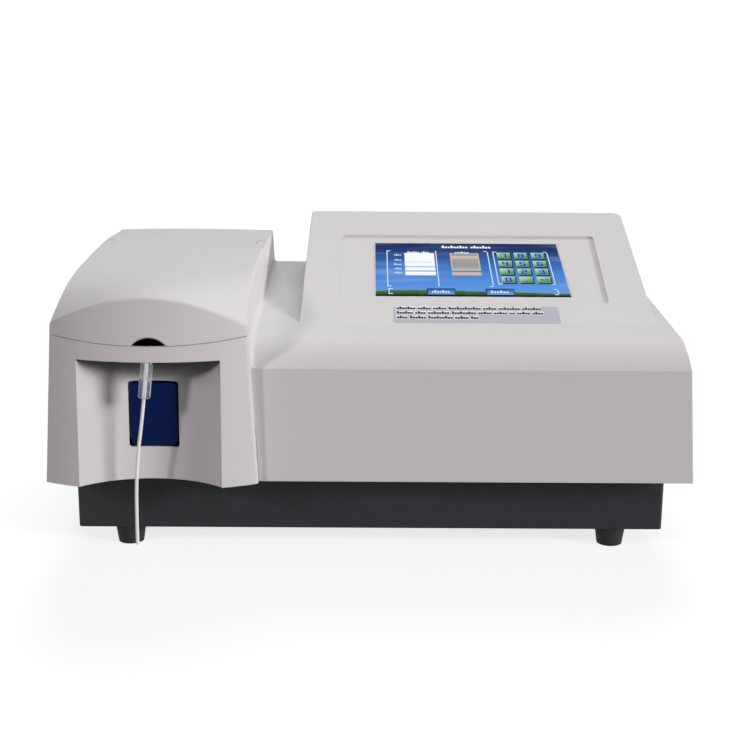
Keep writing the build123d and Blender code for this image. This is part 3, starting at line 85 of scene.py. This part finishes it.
def finish(name, colour, second=None, roughness=(0.4, 0.5), patch=30.0, grain=2500.0, depth=0.02,
           stretch=(1, 1, 1), metallic=0.0, coat=0.0, transmission=0.0, ior=1.46, specular=0.5,
           round_edge=0.0):
    """A surface with drifting colour, uneven gloss and a fine grain.

    Grain and patch are counted per metre, and depth and round_edge are in mm.
    """
    material, tree, links = new_material(name)
    shader = tree["Principled BSDF"]
    shader.inputs["Metallic"].default_value = metallic
    shader.inputs["Coat Weight"].default_value = coat
    shader.inputs["Coat Roughness"].default_value = 0.08
    shader.inputs["Transmission Weight"].default_value = transmission
    shader.inputs["IOR"].default_value = ior
    shader.inputs["Specular IOR Level"].default_value = specular
    place = tree.new("ShaderNodeTexCoord")
    drift = tree.new("ShaderNodeTexNoise")
    drift.inputs["Scale"].default_value = patch
    drift.inputs["Detail"].default_value = 3
    links.new(place.outputs["Object"], drift.inputs["Vector"])
    mix = tree.new("ShaderNodeMix")
    mix.data_type = "RGBA"
    mix.inputs["A"].default_value = (*colour, 1)
    mix.inputs["B"].default_value = (*(second or [c * 0.93 for c in colour]), 1)
    links.new(drift.outputs["Fac"], mix.inputs["Factor"])
    links.new(mix.outputs["Result"], shader.inputs["Base Color"])
    lay = tree.new("ShaderNodeMapping")
    lay.inputs["Scale"].default_value = stretch
    links.new(place.outputs["Object"], lay.inputs["Vector"])
    fine = tree.new("ShaderNodeTexNoise")
    fine.inputs["Scale"].default_value = grain
    fine.inputs["Detail"].default_value = 2
    links.new(lay.outputs["Vector"], fine.inputs["Vector"])
    gloss = tree.new("ShaderNodeMapRange")
    gloss.inputs["From Min"].default_value = 0.3
    gloss.inputs["From Max"].default_value = 0.7
    gloss.inputs["To Min"].default_value = roughness[0]
    gloss.inputs["To Max"].default_value = roughness[1]
    links.new(fine.outputs["Fac"], gloss.inputs["Value"])
    links.new(gloss.outputs["Result"], shader.inputs["Roughness"])
    bump = tree.new("ShaderNodeBump")
    bump.inputs["Strength"].default_value = 0.5
    bump.inputs["Distance"].default_value = depth * MM
    links.new(fine.outputs["Fac"], bump.inputs["Height"])
    links.new(bump.outputs["Normal"], shader.inputs["Normal"])
    if round_edge:
        bevel = tree.new("ShaderNodeBevel")
        bevel.samples = 4
        bevel.inputs["Radius"].default_value = round_edge * MM
        links.new(bevel.outputs["Normal"], bump.inputs["Normal"])
    return material


FINISHES = {
    "housing_plastic": dict(colour=(0.665, 0.648, 0.652), second=(0.652, 0.635, 0.64), roughness=(0.42, 0.55),
                            patch=14, grain=1500, depth=0.03, round_edge=0.5),
    "key_plastic": dict(colour=(0.0006, 0.0105, 0.07), second=(0.0008, 0.0125, 0.08), roughness=(0.4, 0.5),
                        grain=900, depth=0.02, specular=0.08, round_edge=0.8),
    "black_plastic": dict(colour=(0.012, 0.012, 0.013), second=(0.02, 0.02, 0.022), roughness=(0.35, 0.5),
                          depth=0.03, round_edge=0.3),
    "rocker_plastic": dict(colour=(0.015, 0.015, 0.016), roughness=(0.18, 0.26), coat=0.3, round_edge=0.4),
    "red_plastic": dict(colour=(0.5, 0.02, 0.015), roughness=(0.3, 0.4)),
    "tray_plastic": dict(colour=(0.075, 0.078, 0.085), second=(0.09, 0.092, 0.1), roughness=(0.42, 0.55),
                         depth=0.04),
    "outlet_plastic": dict(colour=(0.72, 0.71, 0.66), roughness=(0.3, 0.4), round_edge=0.3),
    "pump_plastic": dict(colour=(0.02, 0.023, 0.03), second=(0.03, 0.033, 0.04), roughness=(0.32, 0.45),
                         round_edge=0.4),
    "rotor_plastic": dict(colour=(0.45, 0.46, 0.48), roughness=(0.3, 0.42)),
    "cover_plastic": dict(colour=(0.85, 0.92, 0.98), roughness=(0.03, 0.08), transmission=0.95, ior=1.4,
                          depth=0.002),
    "clear_tube": dict(colour=(0.93, 0.96, 1.0), second=(0.88, 0.92, 0.97), roughness=(0.06, 0.14),
                       transmission=0.9, ior=1.35, depth=0.004),
    "white_tube": dict(colour=(0.95, 0.945, 0.92), second=(0.92, 0.915, 0.89), roughness=(0.22, 0.32),
                       depth=0.004),
    "steel": dict(colour=(0.6, 0.6, 0.62), roughness=(0.18, 0.3), metallic=1.0, stretch=(1, 1, 0.05),
                  depth=0.004),
    "steel_sheet": dict(colour=(0.5, 0.51, 0.53), second=(0.42, 0.44, 0.47), roughness=(0.3, 0.45),
                        metallic=1.0, patch=120, stretch=(1, 0.08, 1), depth=0.006),
    "screw_steel": dict(colour=(0.62, 0.62, 0.6), roughness=(0.2, 0.34), metallic=1.0, depth=0.006),
    "guard_chrome": dict(colour=(0.75, 0.76, 0.78), roughness=(0.1, 0.2), metallic=1.0, depth=0.004),
    "port_metal": dict(colour=(0.62, 0.61, 0.58), roughness=(0.24, 0.36), metallic=1.0, depth=0.006),
    "motor_metal": dict(colour=(0.03, 0.03, 0.033), second=(0.05, 0.05, 0.055), roughness=(0.3, 0.42),
                        coat=0.2),
    "brass": dict(colour=(0.62, 0.47, 0.2), roughness=(0.22, 0.34), metallic=1.0, depth=0.004),
    "tray_paint": dict(colour=(0.02, 0.019, 0.024), second=(0.026, 0.025, 0.03), roughness=(0.45, 0.6),
                       patch=20, grain=1800, depth=0.05, specular=0.3, round_edge=0.4),
    "foot_rubber": dict(colour=(0.008, 0.008, 0.008), second=(0.014, 0.014, 0.013), roughness=(0.7, 0.85),
                        depth=0.04),
    "screen_glass": dict(colour=(0.78, 0.78, 0.8), second=(0.75, 0.75, 0.78), roughness=(0.06, 0.1), coat=0.4,
                         depth=0.001),
    "lcd_metal": dict(colour=(0.5, 0.5, 0.52), roughness=(0.3, 0.4), metallic=1.0, stretch=(0.06, 1, 1)),
    "label_film": dict(colour=(0.49, 0.475, 0.55), second=(0.475, 0.46, 0.535), roughness=(0.3, 0.42),
                       depth=0.006),
    "anodised_black": dict(colour=(0.014, 0.014, 0.015), second=(0.02, 0.02, 0.022), roughness=(0.4, 0.5),
                           metallic=0.6, depth=0.02),
    "bare_aluminium": dict(colour=(0.66, 0.67, 0.69), second=(0.6, 0.61, 0.63), roughness=(0.28, 0.42),
                           metallic=1.0, stretch=(0.05, 1, 1), depth=0.008),
    "psu_metal": dict(colour=(0.6, 0.6, 0.6), second=(0.55, 0.55, 0.56), roughness=(0.32, 0.46), metallic=1.0,
                      stretch=(1, 0.05, 1)),
    "lens_glass": dict(colour=(0.95, 0.98, 1.0), roughness=(0.0, 0.03), transmission=1.0, ior=1.5,
                       depth=0.0005),
    "filter_glass": dict(colour=(0.45, 0.2, 0.4), second=(0.2, 0.35, 0.5), roughness=(0.03, 0.08), patch=60,
                         transmission=0.5, ior=1.5, coat=0.6, depth=0.0005),
    "ceramic": dict(colour=(0.82, 0.81, 0.77), roughness=(0.35, 0.5)),
    "circuit_board": dict(colour=(0.012, 0.09, 0.035), second=(0.02, 0.13, 0.05), roughness=(0.25, 0.4),
                          patch=400, grain=700, depth=0.02, coat=0.2),
}
materials = {name: finish(name, **facts) for name, facts in FINISHES.items()}
slot_of = {row["node"]: row["material_slot"] for row in frame["record"]["subparts"]}
for node_name, node in nodes.items():
    node.material_slots[0].material = materials[slot_of[node_name]]


def ramp(tree, stops):
    node = tree.new("ShaderNodeValToRGB")
    while len(node.color_ramp.elements) < len(stops):
        node.color_ramp.elements.new(0.5)
    for element, (position, colour) in zip(node.color_ramp.elements, stops):
        element.position = position
        element.color = (*colour, 1)
    return node


def painted_shade_in_hollows(material, reach):
    """A copy of a material with painted shade: its base colour darkens where its own piece closes in on it,
    within reach in mm.
    """
    copy = material.copy()
    tree, links = copy.node_tree.nodes, copy.node_tree.links
    base = tree["Principled BSDF"].inputs["Base Color"]
    plain = base.links[0].from_socket
    hollow = tree.new("ShaderNodeAmbientOcclusion")
    hollow.only_local = True
    hollow.samples = 12
    hollow.inputs["Distance"].default_value = reach * MM
    # painted shade: near-black where the piece closes in most, fading to the plain colour where it opens out
    shade = ramp(tree, [(0.5, (0.015, 0.015, 0.015)), (0.72, (0.16, 0.155, 0.155)), (0.89, (1, 1, 1))])
    links.new(hollow.outputs["AO"], shade.inputs["Fac"])
    blend = tree.new("ShaderNodeMix")
    blend.data_type = "RGBA"
    blend.blend_type = "MULTIPLY"
    blend.inputs["Factor"].default_value = 1
    links.new(plain, blend.inputs["A"])
    links.new(shade.outputs["Color"], blend.inputs["B"])
    links.new(blend.outputs["Result"], base)
    return copy


# The sample front panel gets painted shade: its colour darkens under the niche's ceiling and in its other
# hollows.
nodes["sample_front_panel"].material_slots[0].material = painted_shade_in_hollows(materials["housing_plastic"], 30)


# ---------------------------------------------------------------- tubes
def tube(name, points, radius, slot):
    """A round tube on a smooth line pulled by the points of its route, which are millimetres."""
    curve = bpy.data.curves.new(name, "CURVE")
    curve.dimensions = "3D"
    spline = curve.splines.new("NURBS")
    spline.points.add(len(points) - 1)
    for point, place in zip(spline.points, points):
        point.co = (*(c * MM for c in place), 1)
    spline.order_u = 3
    spline.use_endpoint_u = True
    spline.resolution_u = 16
    curve.bevel_depth = radius * MM
    curve.bevel_resolution = 5
    curve.use_fill_caps = True
    curve.materials.append(materials[slot])
    piece = bpy.data.objects.new(name, curve)
    scene.collection.objects.link(piece)
    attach(piece, "instrument")
    return piece


SIPPER_ROUTE = [(-152.98, -149.5, 133.6), (-155.90, -149.5, 107.9), (-160.20, -149.5, 80.0),
                (-162.40, -149.5, 47.0), (-162.30, -149.5, 15.4)]
INLET_ROUTE = [(-150.78, -141.0, 152.98), (-150.78, -127.0, 152.98), (-155.2, -108.0, 161.0),
               (-155.2, -84.0, 166.0), (-155.2, -70.0, 163.5), (-155.2, -70.0, 154.0)]
CELL_ROUTE = [(-148.8, -70.0, 154.0), (-148.8, -70.0, 162.0), (-144.0, -58.0, 164.0),
              (-160.7, -38.0, 150.0), (-174.7, -28.0, 131.5), (-174.7, -17.0, 131.5)]
for name, route, radius, length, slot, far_end, lay in (
    ("sipper_line", SIPPER_ROUTE, 1.2, 118.5, "white_tube", "bare", "hanging"),
    ("inlet_line", INLET_ROUTE, 1.6, 78.0, "clear_tube", "object", "loose"),
    ("cell_line", CELL_ROUTE, 1.6, 80.0, "clear_tube", "object", "loose"),
):
    piece = tube(name, route, radius, slot)
    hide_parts(name.replace("_line", "_tube"))


# ---------------------------------------------------------------- display picture
GLOW = 1.0                 # strength of the lit display
CONSOLE_SLOPE = radians(12.431)
GLASS_THICKNESS, GLASS_MARGIN = 1.6, 1.0
glass_low, glass_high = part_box("touch_glass")
down_slope = Vector((0, -cos(CONSOLE_SLOPE), -sin(CONSOLE_SLOPE)))
off_slope = Vector((0, -sin(CONSOLE_SLOPE), cos(CONSOLE_SLOPE)))
glass_rear = Vector((0, glass_high.y - GLASS_THICKNESS * MM * sin(CONSOLE_SLOPE), glass_high.z))
screen_left = glass_low.x / MM + GLASS_MARGIN
screen_width = (glass_high.x - glass_low.x) / MM - 2 * GLASS_MARGIN
screen_top = GLASS_MARGIN
screen_height = (glass_rear.y - glass_low.y) / MM / cos(CONSOLE_SLOPE) - 2 * GLASS_MARGIN


def on_screen(across, down, height):
    """A point over the lit area, from fractions across and down it and a height in mm."""
    return (Vector((screen_left + across * screen_width, 0, 0)) * MM + glass_rear
            + down_slope * (screen_top + down * screen_height) * MM + off_slope * height * MM)


def flat_piece(name, place, polygons):
    """One mesh of flat polygons, each a (material, height, corners), with a UV square over its extent."""
    mesh = bpy.data.meshes.new(name)
    used = []
    for material, _, _ in polygons:
        if material not in used:
            used.append(material)
    for material in used:
        mesh.materials.append(material)
    shape = bmesh.new()
    uv = shape.loops.layers.uv.new("UVMap")
    for material, height, corners in polygons:
        face = shape.faces.new([shape.verts.new(place(a, b, height)) for a, b in corners])
        face.material_index = used.index(material)
        face.normal_update()
        across = [a for a, _ in corners]
        down = [b for _, b in corners]
        for loop, (a, b) in zip(face.loops, corners):
            loop[uv].uv = ((a - min(across)) / (max(across) - min(across)),
                           1 - (b - min(down)) / (max(down) - min(down)))
        if face.normal.z < 0:
            face.normal_flip()
    shape.to_mesh(mesh)
    shape.free()
    piece = bpy.data.objects.new(name, mesh)
    scene.collection.objects.link(piece)
    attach(piece, "instrument")
    return piece


def rectangle(x0, x1, y0, y1):
    return [(x0, y0), (x1, y0), (x1, y1), (x0, y1)]


def lit(name, top_colour, bottom_colour, across=0.0, speckle=0.06):
    """A lit area of the picture that shades down its own height, with a faint uneven backlight."""
    material, tree, links = new_material(name)
    shader = tree["Principled BSDF"]
    shader.inputs["Base Color"].default_value = (0.01, 0.01, 0.012, 1)
    shader.inputs["Roughness"].default_value = 0.12
    shader.inputs["Emission Strength"].default_value = GLOW
    place = tree.new("ShaderNodeTexCoord")
    split = tree.new("ShaderNodeSeparateXYZ")
    links.new(place.outputs["UV"], split.inputs["Vector"])
    slant = tree.new("ShaderNodeMath")
    slant.operation = "MULTIPLY_ADD"
    slant.inputs[1].default_value = -across
    links.new(split.outputs["X"], slant.inputs[0])
    links.new(split.outputs["Y"], slant.inputs[2])
    uneven = tree.new("ShaderNodeTexNoise")
    uneven.inputs["Scale"].default_value = 90
    links.new(place.outputs["Object"], uneven.inputs["Vector"])
    sway = tree.new("ShaderNodeMath")
    sway.operation = "MULTIPLY_ADD"
    sway.inputs[1].default_value = speckle
    links.new(uneven.outputs["Fac"], sway.inputs[0])
    links.new(slant.outputs["Value"], sway.inputs[2])
    shade = ramp(tree, [(0.0, bottom_colour), (1.0, top_colour)])
    links.new(sway.outputs["Value"], shade.inputs["Fac"])
    links.new(shade.outputs["Color"], shader.inputs["Emission Color"])
    return material


def sky_picture():
    """Plain blue backdrop: dark at the upper right, lighter low down, with pale drifting streaks."""
    material, tree, links = new_material("picture_backdrop")
    shader = tree["Principled BSDF"]
    shader.inputs["Base Color"].default_value = (0.01, 0.01, 0.012, 1)
    shader.inputs["Roughness"].default_value = 0.12
    shader.inputs["Emission Strength"].default_value = GLOW
    place = tree.new("ShaderNodeTexCoord")
    split = tree.new("ShaderNodeSeparateXYZ")
    links.new(place.outputs["UV"], split.inputs["Vector"])
    body = ramp(tree, [(0.0, (0.14, 0.34, 0.74)), (0.2, (0.085, 0.27, 0.72)), (0.45, (0.05, 0.2, 0.6)),
                       (0.7, (0.018, 0.09, 0.32)), (0.88, (0.006, 0.028, 0.13)), (1.0, (0.003, 0.014, 0.08))])
    links.new(split.outputs["Y"], body.inputs["Fac"])
    stretch = tree.new("ShaderNodeMapping")
    stretch.inputs["Rotation"].default_value = (0, 0, radians(-14))
    stretch.inputs["Scale"].default_value = (0.9, 5.0, 1)
    stretch.inputs["Location"].default_value = (0.35, 0.4, 0)
    links.new(place.outputs["UV"], stretch.inputs["Vector"])
    streak = tree.new("ShaderNodeTexNoise")
    streak.inputs["Scale"].default_value = 1.3
    streak.inputs["Detail"].default_value = 1
    links.new(stretch.outputs["Vector"], streak.inputs["Vector"])
    pale = ramp(tree, [(0.5, (0, 0, 0)), (0.72, (0.55, 0.55, 0.55))])
    links.new(streak.outputs["Fac"], pale.inputs["Fac"])
    left = ramp(tree, [(0.0, (1, 1, 1)), (0.4, (0.2, 0.2, 0.2)), (0.85, (0.06, 0.06, 0.06)),
                       (1.0, (0.7, 0.7, 0.7))])
    links.new(split.outputs["X"], left.inputs["Fac"])
    weight = tree.new("ShaderNodeMath")
    weight.operation = "MULTIPLY"
    links.new(pale.outputs["Color"], weight.inputs[0])
    links.new(left.outputs["Color"], weight.inputs[1])
    mix = tree.new("ShaderNodeMix")
    mix.data_type = "RGBA"
    mix.inputs["B"].default_value = (0.33, 0.55, 0.74, 1)
    links.new(weight.outputs["Value"], mix.inputs["Factor"])
    links.new(body.outputs["Color"], mix.inputs["A"])
    links.new(mix.outputs["Result"], shader.inputs["Emission Color"])
    return material


WHITE = lit("picture_white", (0.95, 0.97, 1.0), (0.88, 0.92, 1.0))
SOFT_WHITE = lit("picture_line", (0.75, 0.86, 1.0), (0.6, 0.75, 1.0))
SAND = lit("picture_sand", (0.66, 0.5, 0.36), (0.56, 0.44, 0.33))
GREY = lit("picture_grey", (0.36, 0.36, 0.35), (0.3, 0.3, 0.3))
FIELD_BLUE = lit("picture_divider", (0.12, 0.3, 0.7), (0.1, 0.25, 0.6))
KEY_FACE = lit("picture_key", (0.5, 0.76, 0.46), (0.1, 0.3, 0.12), across=0.45)
KEY_SHADE = lit("picture_key_shade", (0.012, 0.03, 0.02), (0.01, 0.02, 0.015))
MEADOW = lit("picture_meadow", (0.07, 0.2, 0.03), (0.012, 0.05, 0.008), across=0.2)
BASE_LINE = lit("picture_base_line", (0.004, 0.004, 0.005), (0.003, 0.003, 0.004))
BUTTON = lit("picture_button", (0.03, 0.1, 0.35), (0.13, 0.33, 0.72), across=0.1)
BUTTON_SHADE = lit("picture_button_shade", (0.01, 0.03, 0.12), (0.01, 0.03, 0.1))
DIGIT = lit("picture_digit", (0.01, 0.02, 0.75), (0.008, 0.01, 0.6))

STEP = 0.03                # height between the picture's layers, mm
picture = [(sky_picture(), STEP, rectangle(0, 1, 0, 1))]


def paint(material, layer, x0, x1, y0, y1):
    picture.append((material, STEP * layer, rectangle(x0, x1, y0, y1)))


def greek(x0, x1, y, tall, words, layer=4, material=WHITE):
    """A row of letter-sized blocks, in word groups, that stand for writing without being any."""
    units = sum(words) + 0.8 * (len(words) - 1)
    pitch = (x1 - x0) / units
    at = x0
    for count, letters in enumerate(words):
        for k in range(letters):
            rise = tall * (0.62 + 0.38 * ((k * 5 + count * 3 + letters) % 3 == 0))
            left = at + k * pitch
            paint(material, layer, left, left + 0.74 * pitch, y + tall / 2 - rise, y + tall / 2)
        at += (letters + 0.8) * pitch


def bracket(x0, x1, y0, y1, opens):
    """A thin upright line with short turned-in ends; opens is +1 to the right and -1 to the left."""
    line, hook = 0.0045, 0.018
    paint(SOFT_WHITE, 3, x0, x1, y0 + 0.02, y1 - 0.02)
    inner = x1 if opens > 0 else x0
    for y in (y0, y1 - 0.012):
        lean = (inner, inner + opens * hook)
        paint(SOFT_WHITE, 3, min(lean), max(lean), y, y + 0.012)
    for y, turn in ((y0, 1), (y1, -1)):
        ends = (y, y + turn * 0.022)
        paint(SOFT_WHITE, 3, min(x0, inner), max(x0, inner) + line * 0.2, min(ends), max(ends))


# wide meadow strip with a slow crest, and the dark line under it
CREST = ((0.0, 0.907), (0.08, 0.896), (0.22, 0.886), (0.34, 0.89), (0.46, 0.9), (0.58, 0.912), (0.72, 0.917),
         (0.84, 0.93), (0.92, 0.94), (1.0, 0.938))
for (x0, y0), (x1, y1) in zip(CREST, CREST[1:]):
    picture.append((MEADOW, 2 * STEP, [(x0, y0), (x1, y1), (x1, 0.98), (x0, 0.98)]))
paint(BASE_LINE, 3, 0.0, 1.0, 0.972, 1.0)

# title row
greek(0.366, 0.637, 0.072, 0.048, (9, 7))

# left group: captions, entry fields and dividers
for x0, opens in ((0.061, 1), (0.609, -1)):
    bracket(x0, x0 + 0.005, 0.151, 0.825, opens)
paint(SOFT_WHITE, 3, 0.327, 0.332, 0.154, 0.823)
for row, y in enumerate((0.236, 0.332, 0.417, 0.499, 0.575)):
    greek(0.102, 0.142, y, 0.028, (4,) if row != 2 else (3,), material=SOFT_WHITE)
greek(0.175, 0.293, 0.18, 0.028, (6, 4))
greek(0.434, 0.513, 0.182, 0.028, (5,))
for y0, y1 in ((0.198, 0.459), (0.472, 0.535), (0.553, 0.622)):
    paint(WHITE, 4, 0.158, 0.319, y0, y1)
paint(FIELD_BLUE, 5, 0.17, 0.308, 0.37, 0.376)
for y0, y1 in ((0.196, 0.535), (0.56, 0.62)):
    paint(SAND, 4, 0.405, 0.561, y0, y1)
for y0, y1 in ((0.204, 0.25), (0.303, 0.45), (0.462, 0.49)):
    paint(GREY, 5, 0.412, 0.554, y0, y1)
paint(FIELD_BLUE, 5, 0.41, 0.556, 0.452, 0.458)

# keypad
bracket(0.639, 0.644, 0.16, 0.778, 1)
bracket(0.934, 0.939, 0.16, 0.778, -1)
KEY_COLUMNS = ((0.661, 0.733), (0.754, 0.825), (0.847, 0.918))
KEY_ROWS = ((0.18, 0.295), (0.338, 0.451), (0.487, 0.6), (0.637, 0.75))
KEY_LEGENDS = ("789", "456", "123", "0.<")
BARS = {"0": "abcdef", "1": "bc", "2": "abged", "3": "abgcd", "4": "fgbc", "5": "afgcd", "6": "afgedc",
        "7": "abc", "8": "abcdefg", "9": "abcdfg"}


def digit(bars, x, y):
    """A digit built from up to seven bars, named a to g clockwise from the top, with g across the middle."""
    wide, tall, bar_x, bar_y = 0.016, 0.038, 0.0095, 0.0135
    for name, level in (("a", y - tall), ("g", y - bar_y / 2), ("d", y + tall - bar_y)):
        if name in bars:
            paint(DIGIT, 5, x - wide, x + wide, level, level + bar_y)
    top = y - tall + bar_y * ("a" in bars)
    low = y + tall - bar_y * ("d" in bars)
    gap = bar_y / 2 * ("g" in bars)
    for name, left, y0, y1 in (("f", x - wide, top, y - gap), ("b", x + wide - bar_x, top, y - gap),
                               ("e", x - wide, y + gap, low), ("c", x + wide - bar_x, y + gap, low)):
        if name in bars:
            paint(DIGIT, 5, left, left + bar_x, y0, y1)


for (y0, y1), legends in zip(KEY_ROWS, KEY_LEGENDS):
    for (x0, x1), legend in zip(KEY_COLUMNS, legends):
        paint(KEY_SHADE, 3, x0 + 0.004, x1 + 0.006, y0 + 0.014, y1 + 0.022)
        paint(KEY_FACE, 4, x0, x1, y0, y1)
        x, y = (x0 + x1) / 2, (y0 + y1) / 2
        if legend == ".":
            paint(DIGIT, 5, x - 0.005, x + 0.005, y + 0.024, y + 0.038)
        elif legend == "<":
            head = [(x - 0.022, y), (x - 0.008, y - 0.022), (x - 0.008, y + 0.022)]
            picture.append((DIGIT, 5 * STEP, head))
            paint(DIGIT, 5, x - 0.008, x + 0.024, y - 0.007, y + 0.007)
        else:
            digit(BARS[legend], x, y)

# two wide buttons on the strip, and its end marks
for x0, x1, words in ((0.263, 0.41, (7,)), (0.566, 0.714, (6,))):
    paint(BUTTON_SHADE, 4, x0, x1, 0.858, 0.964)
    paint(BUTTON, 5, x0 + 0.006, x1 - 0.004, 0.873, 0.964)
    greek(x0 + 0.026, x1 - 0.026, 0.915, 0.04, words, layer=6, material=SOFT_WHITE)
for x0, opens in ((0.066, 1), (0.938, -1)):
    bracket(x0, x0 + 0.005, 0.86, 0.96, opens)
flat_piece("display_picture", on_screen, picture)


# ---------------------------------------------------------------- sticker print
label_low, label_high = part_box("caution_label")


def on_label(across, down, height):
    """A point over the sticker, from millimetres in from its left side and down from its rear side."""
    rear = Vector((label_low.x, label_high.y, label_high.z))
    return rear + Vector((across * MM, 0, 0)) + down_slope * down * MM + off_slope * height * MM


INK = finish("label_ink", (0.004, 0.004, 0.005), (0.012, 0.011, 0.014), roughness=(0.35, 0.5))
HALO = finish("label_halo", (0.86, 0.85, 0.9), (0.8, 0.79, 0.85), roughness=(0.35, 0.5))
LABEL_ROWS = ((4.0, (7, 5, 5, 12, 5, 8, 7)), (11.9, (6, 4, 8, 9, 5, 5, 2, 5, 4)), (20.0, (4, 6, 9, 5, 3)))
LETTER_PITCH, WORD_GAP, LETTER_TALL = 2.02, 1.5, 4.6
printing = []
for down, words in LABEL_ROWS:
    at = 2.0
    for count, letters in enumerate(words):
        end = at + letters * LETTER_PITCH - 0.4
        printing.append((HALO, 0.02, rectangle(at - 0.6, end + 0.6, down - 3.2, down + 3.2)))
        for k in range(letters):
            rise = LETTER_TALL * (0.68 + 0.32 * ((k * 5 + count * 3 + letters) % 3 == 0))
            left = at + k * LETTER_PITCH
            printing.append((INK, 0.04, rectangle(left, left + 1.74, down + LETTER_TALL / 2 - rise,
                                                  down + LETTER_TALL / 2)))
        at = end + 0.4 + WORD_GAP
flat_piece("label_print", on_label, printing)


# ---------------------------------------------------------------- floor and light
floor_material = finish("floor", (0.3, 0.3, 0.3), (0.29, 0.29, 0.29), roughness=(0.7, 0.8), patch=2, grain=40,
                        depth=0.01, specular=0.1)
floor_shader = floor_material.node_tree.nodes["Principled BSDF"]
floor_shader.inputs["Emission Color"].default_value = (1, 1, 1, 1)
floor_shader.inputs["Emission Strength"].default_value = 0.78
floor_mesh = bpy.data.meshes.new("floor")
FLOOR_REACH = 200.0
floor_mesh.from_pydata([(-FLOOR_REACH, -FLOOR_REACH, 0), (FLOOR_REACH, -FLOOR_REACH, 0),
                        (FLOOR_REACH, FLOOR_REACH, 0), (-FLOOR_REACH, FLOOR_REACH, 0)], [], [(0, 1, 2, 3)])
floor_mesh.materials.append(floor_material)
floor = bpy.data.objects.new("floor", floor_mesh)
scene.collection.objects.link(floor)
floor.visible_diffuse = False   # the object keeps its own shade instead of the floor's glare


def sun(name, toward, strength, spread, colour, shines=True):
    """A soft distant light that comes from the direction toward, seen in reflections if it shines."""
    data = bpy.data.lights.new(name, "SUN")
    data.energy = strength
    data.angle = radians(spread)
    data.color = colour
    lamp = bpy.data.objects.new(name, data)
    lamp.rotation_euler = Vector(toward).to_track_quat("Z", "Y").to_euler()
    lamp.visible_glossy = shines
    scene.collection.objects.link(lamp)


sun("right_light", (0.82, -0.42, 0.28), 2.78, 18, (1.02, 0.985, 0.995))
sun("left_light", (-0.68, -0.52, 0.42), 1.1, 8, (1.06, 0.96, 0.97))
sun("top_light", (0.05, 0.75, 0.66), 2.7, 40, (0.97, 1.01, 1.0), shines=False)
world = bpy.data.worlds.new("studio")
world.use_nodes = True
world.node_tree.nodes["Background"].inputs["Color"].default_value = (1, 0.985, 0.99, 1)
world.node_tree.nodes["Background"].inputs["Strength"].default_value = 0.04
scene.world = world
scene.view_settings.view_transform = "Standard"
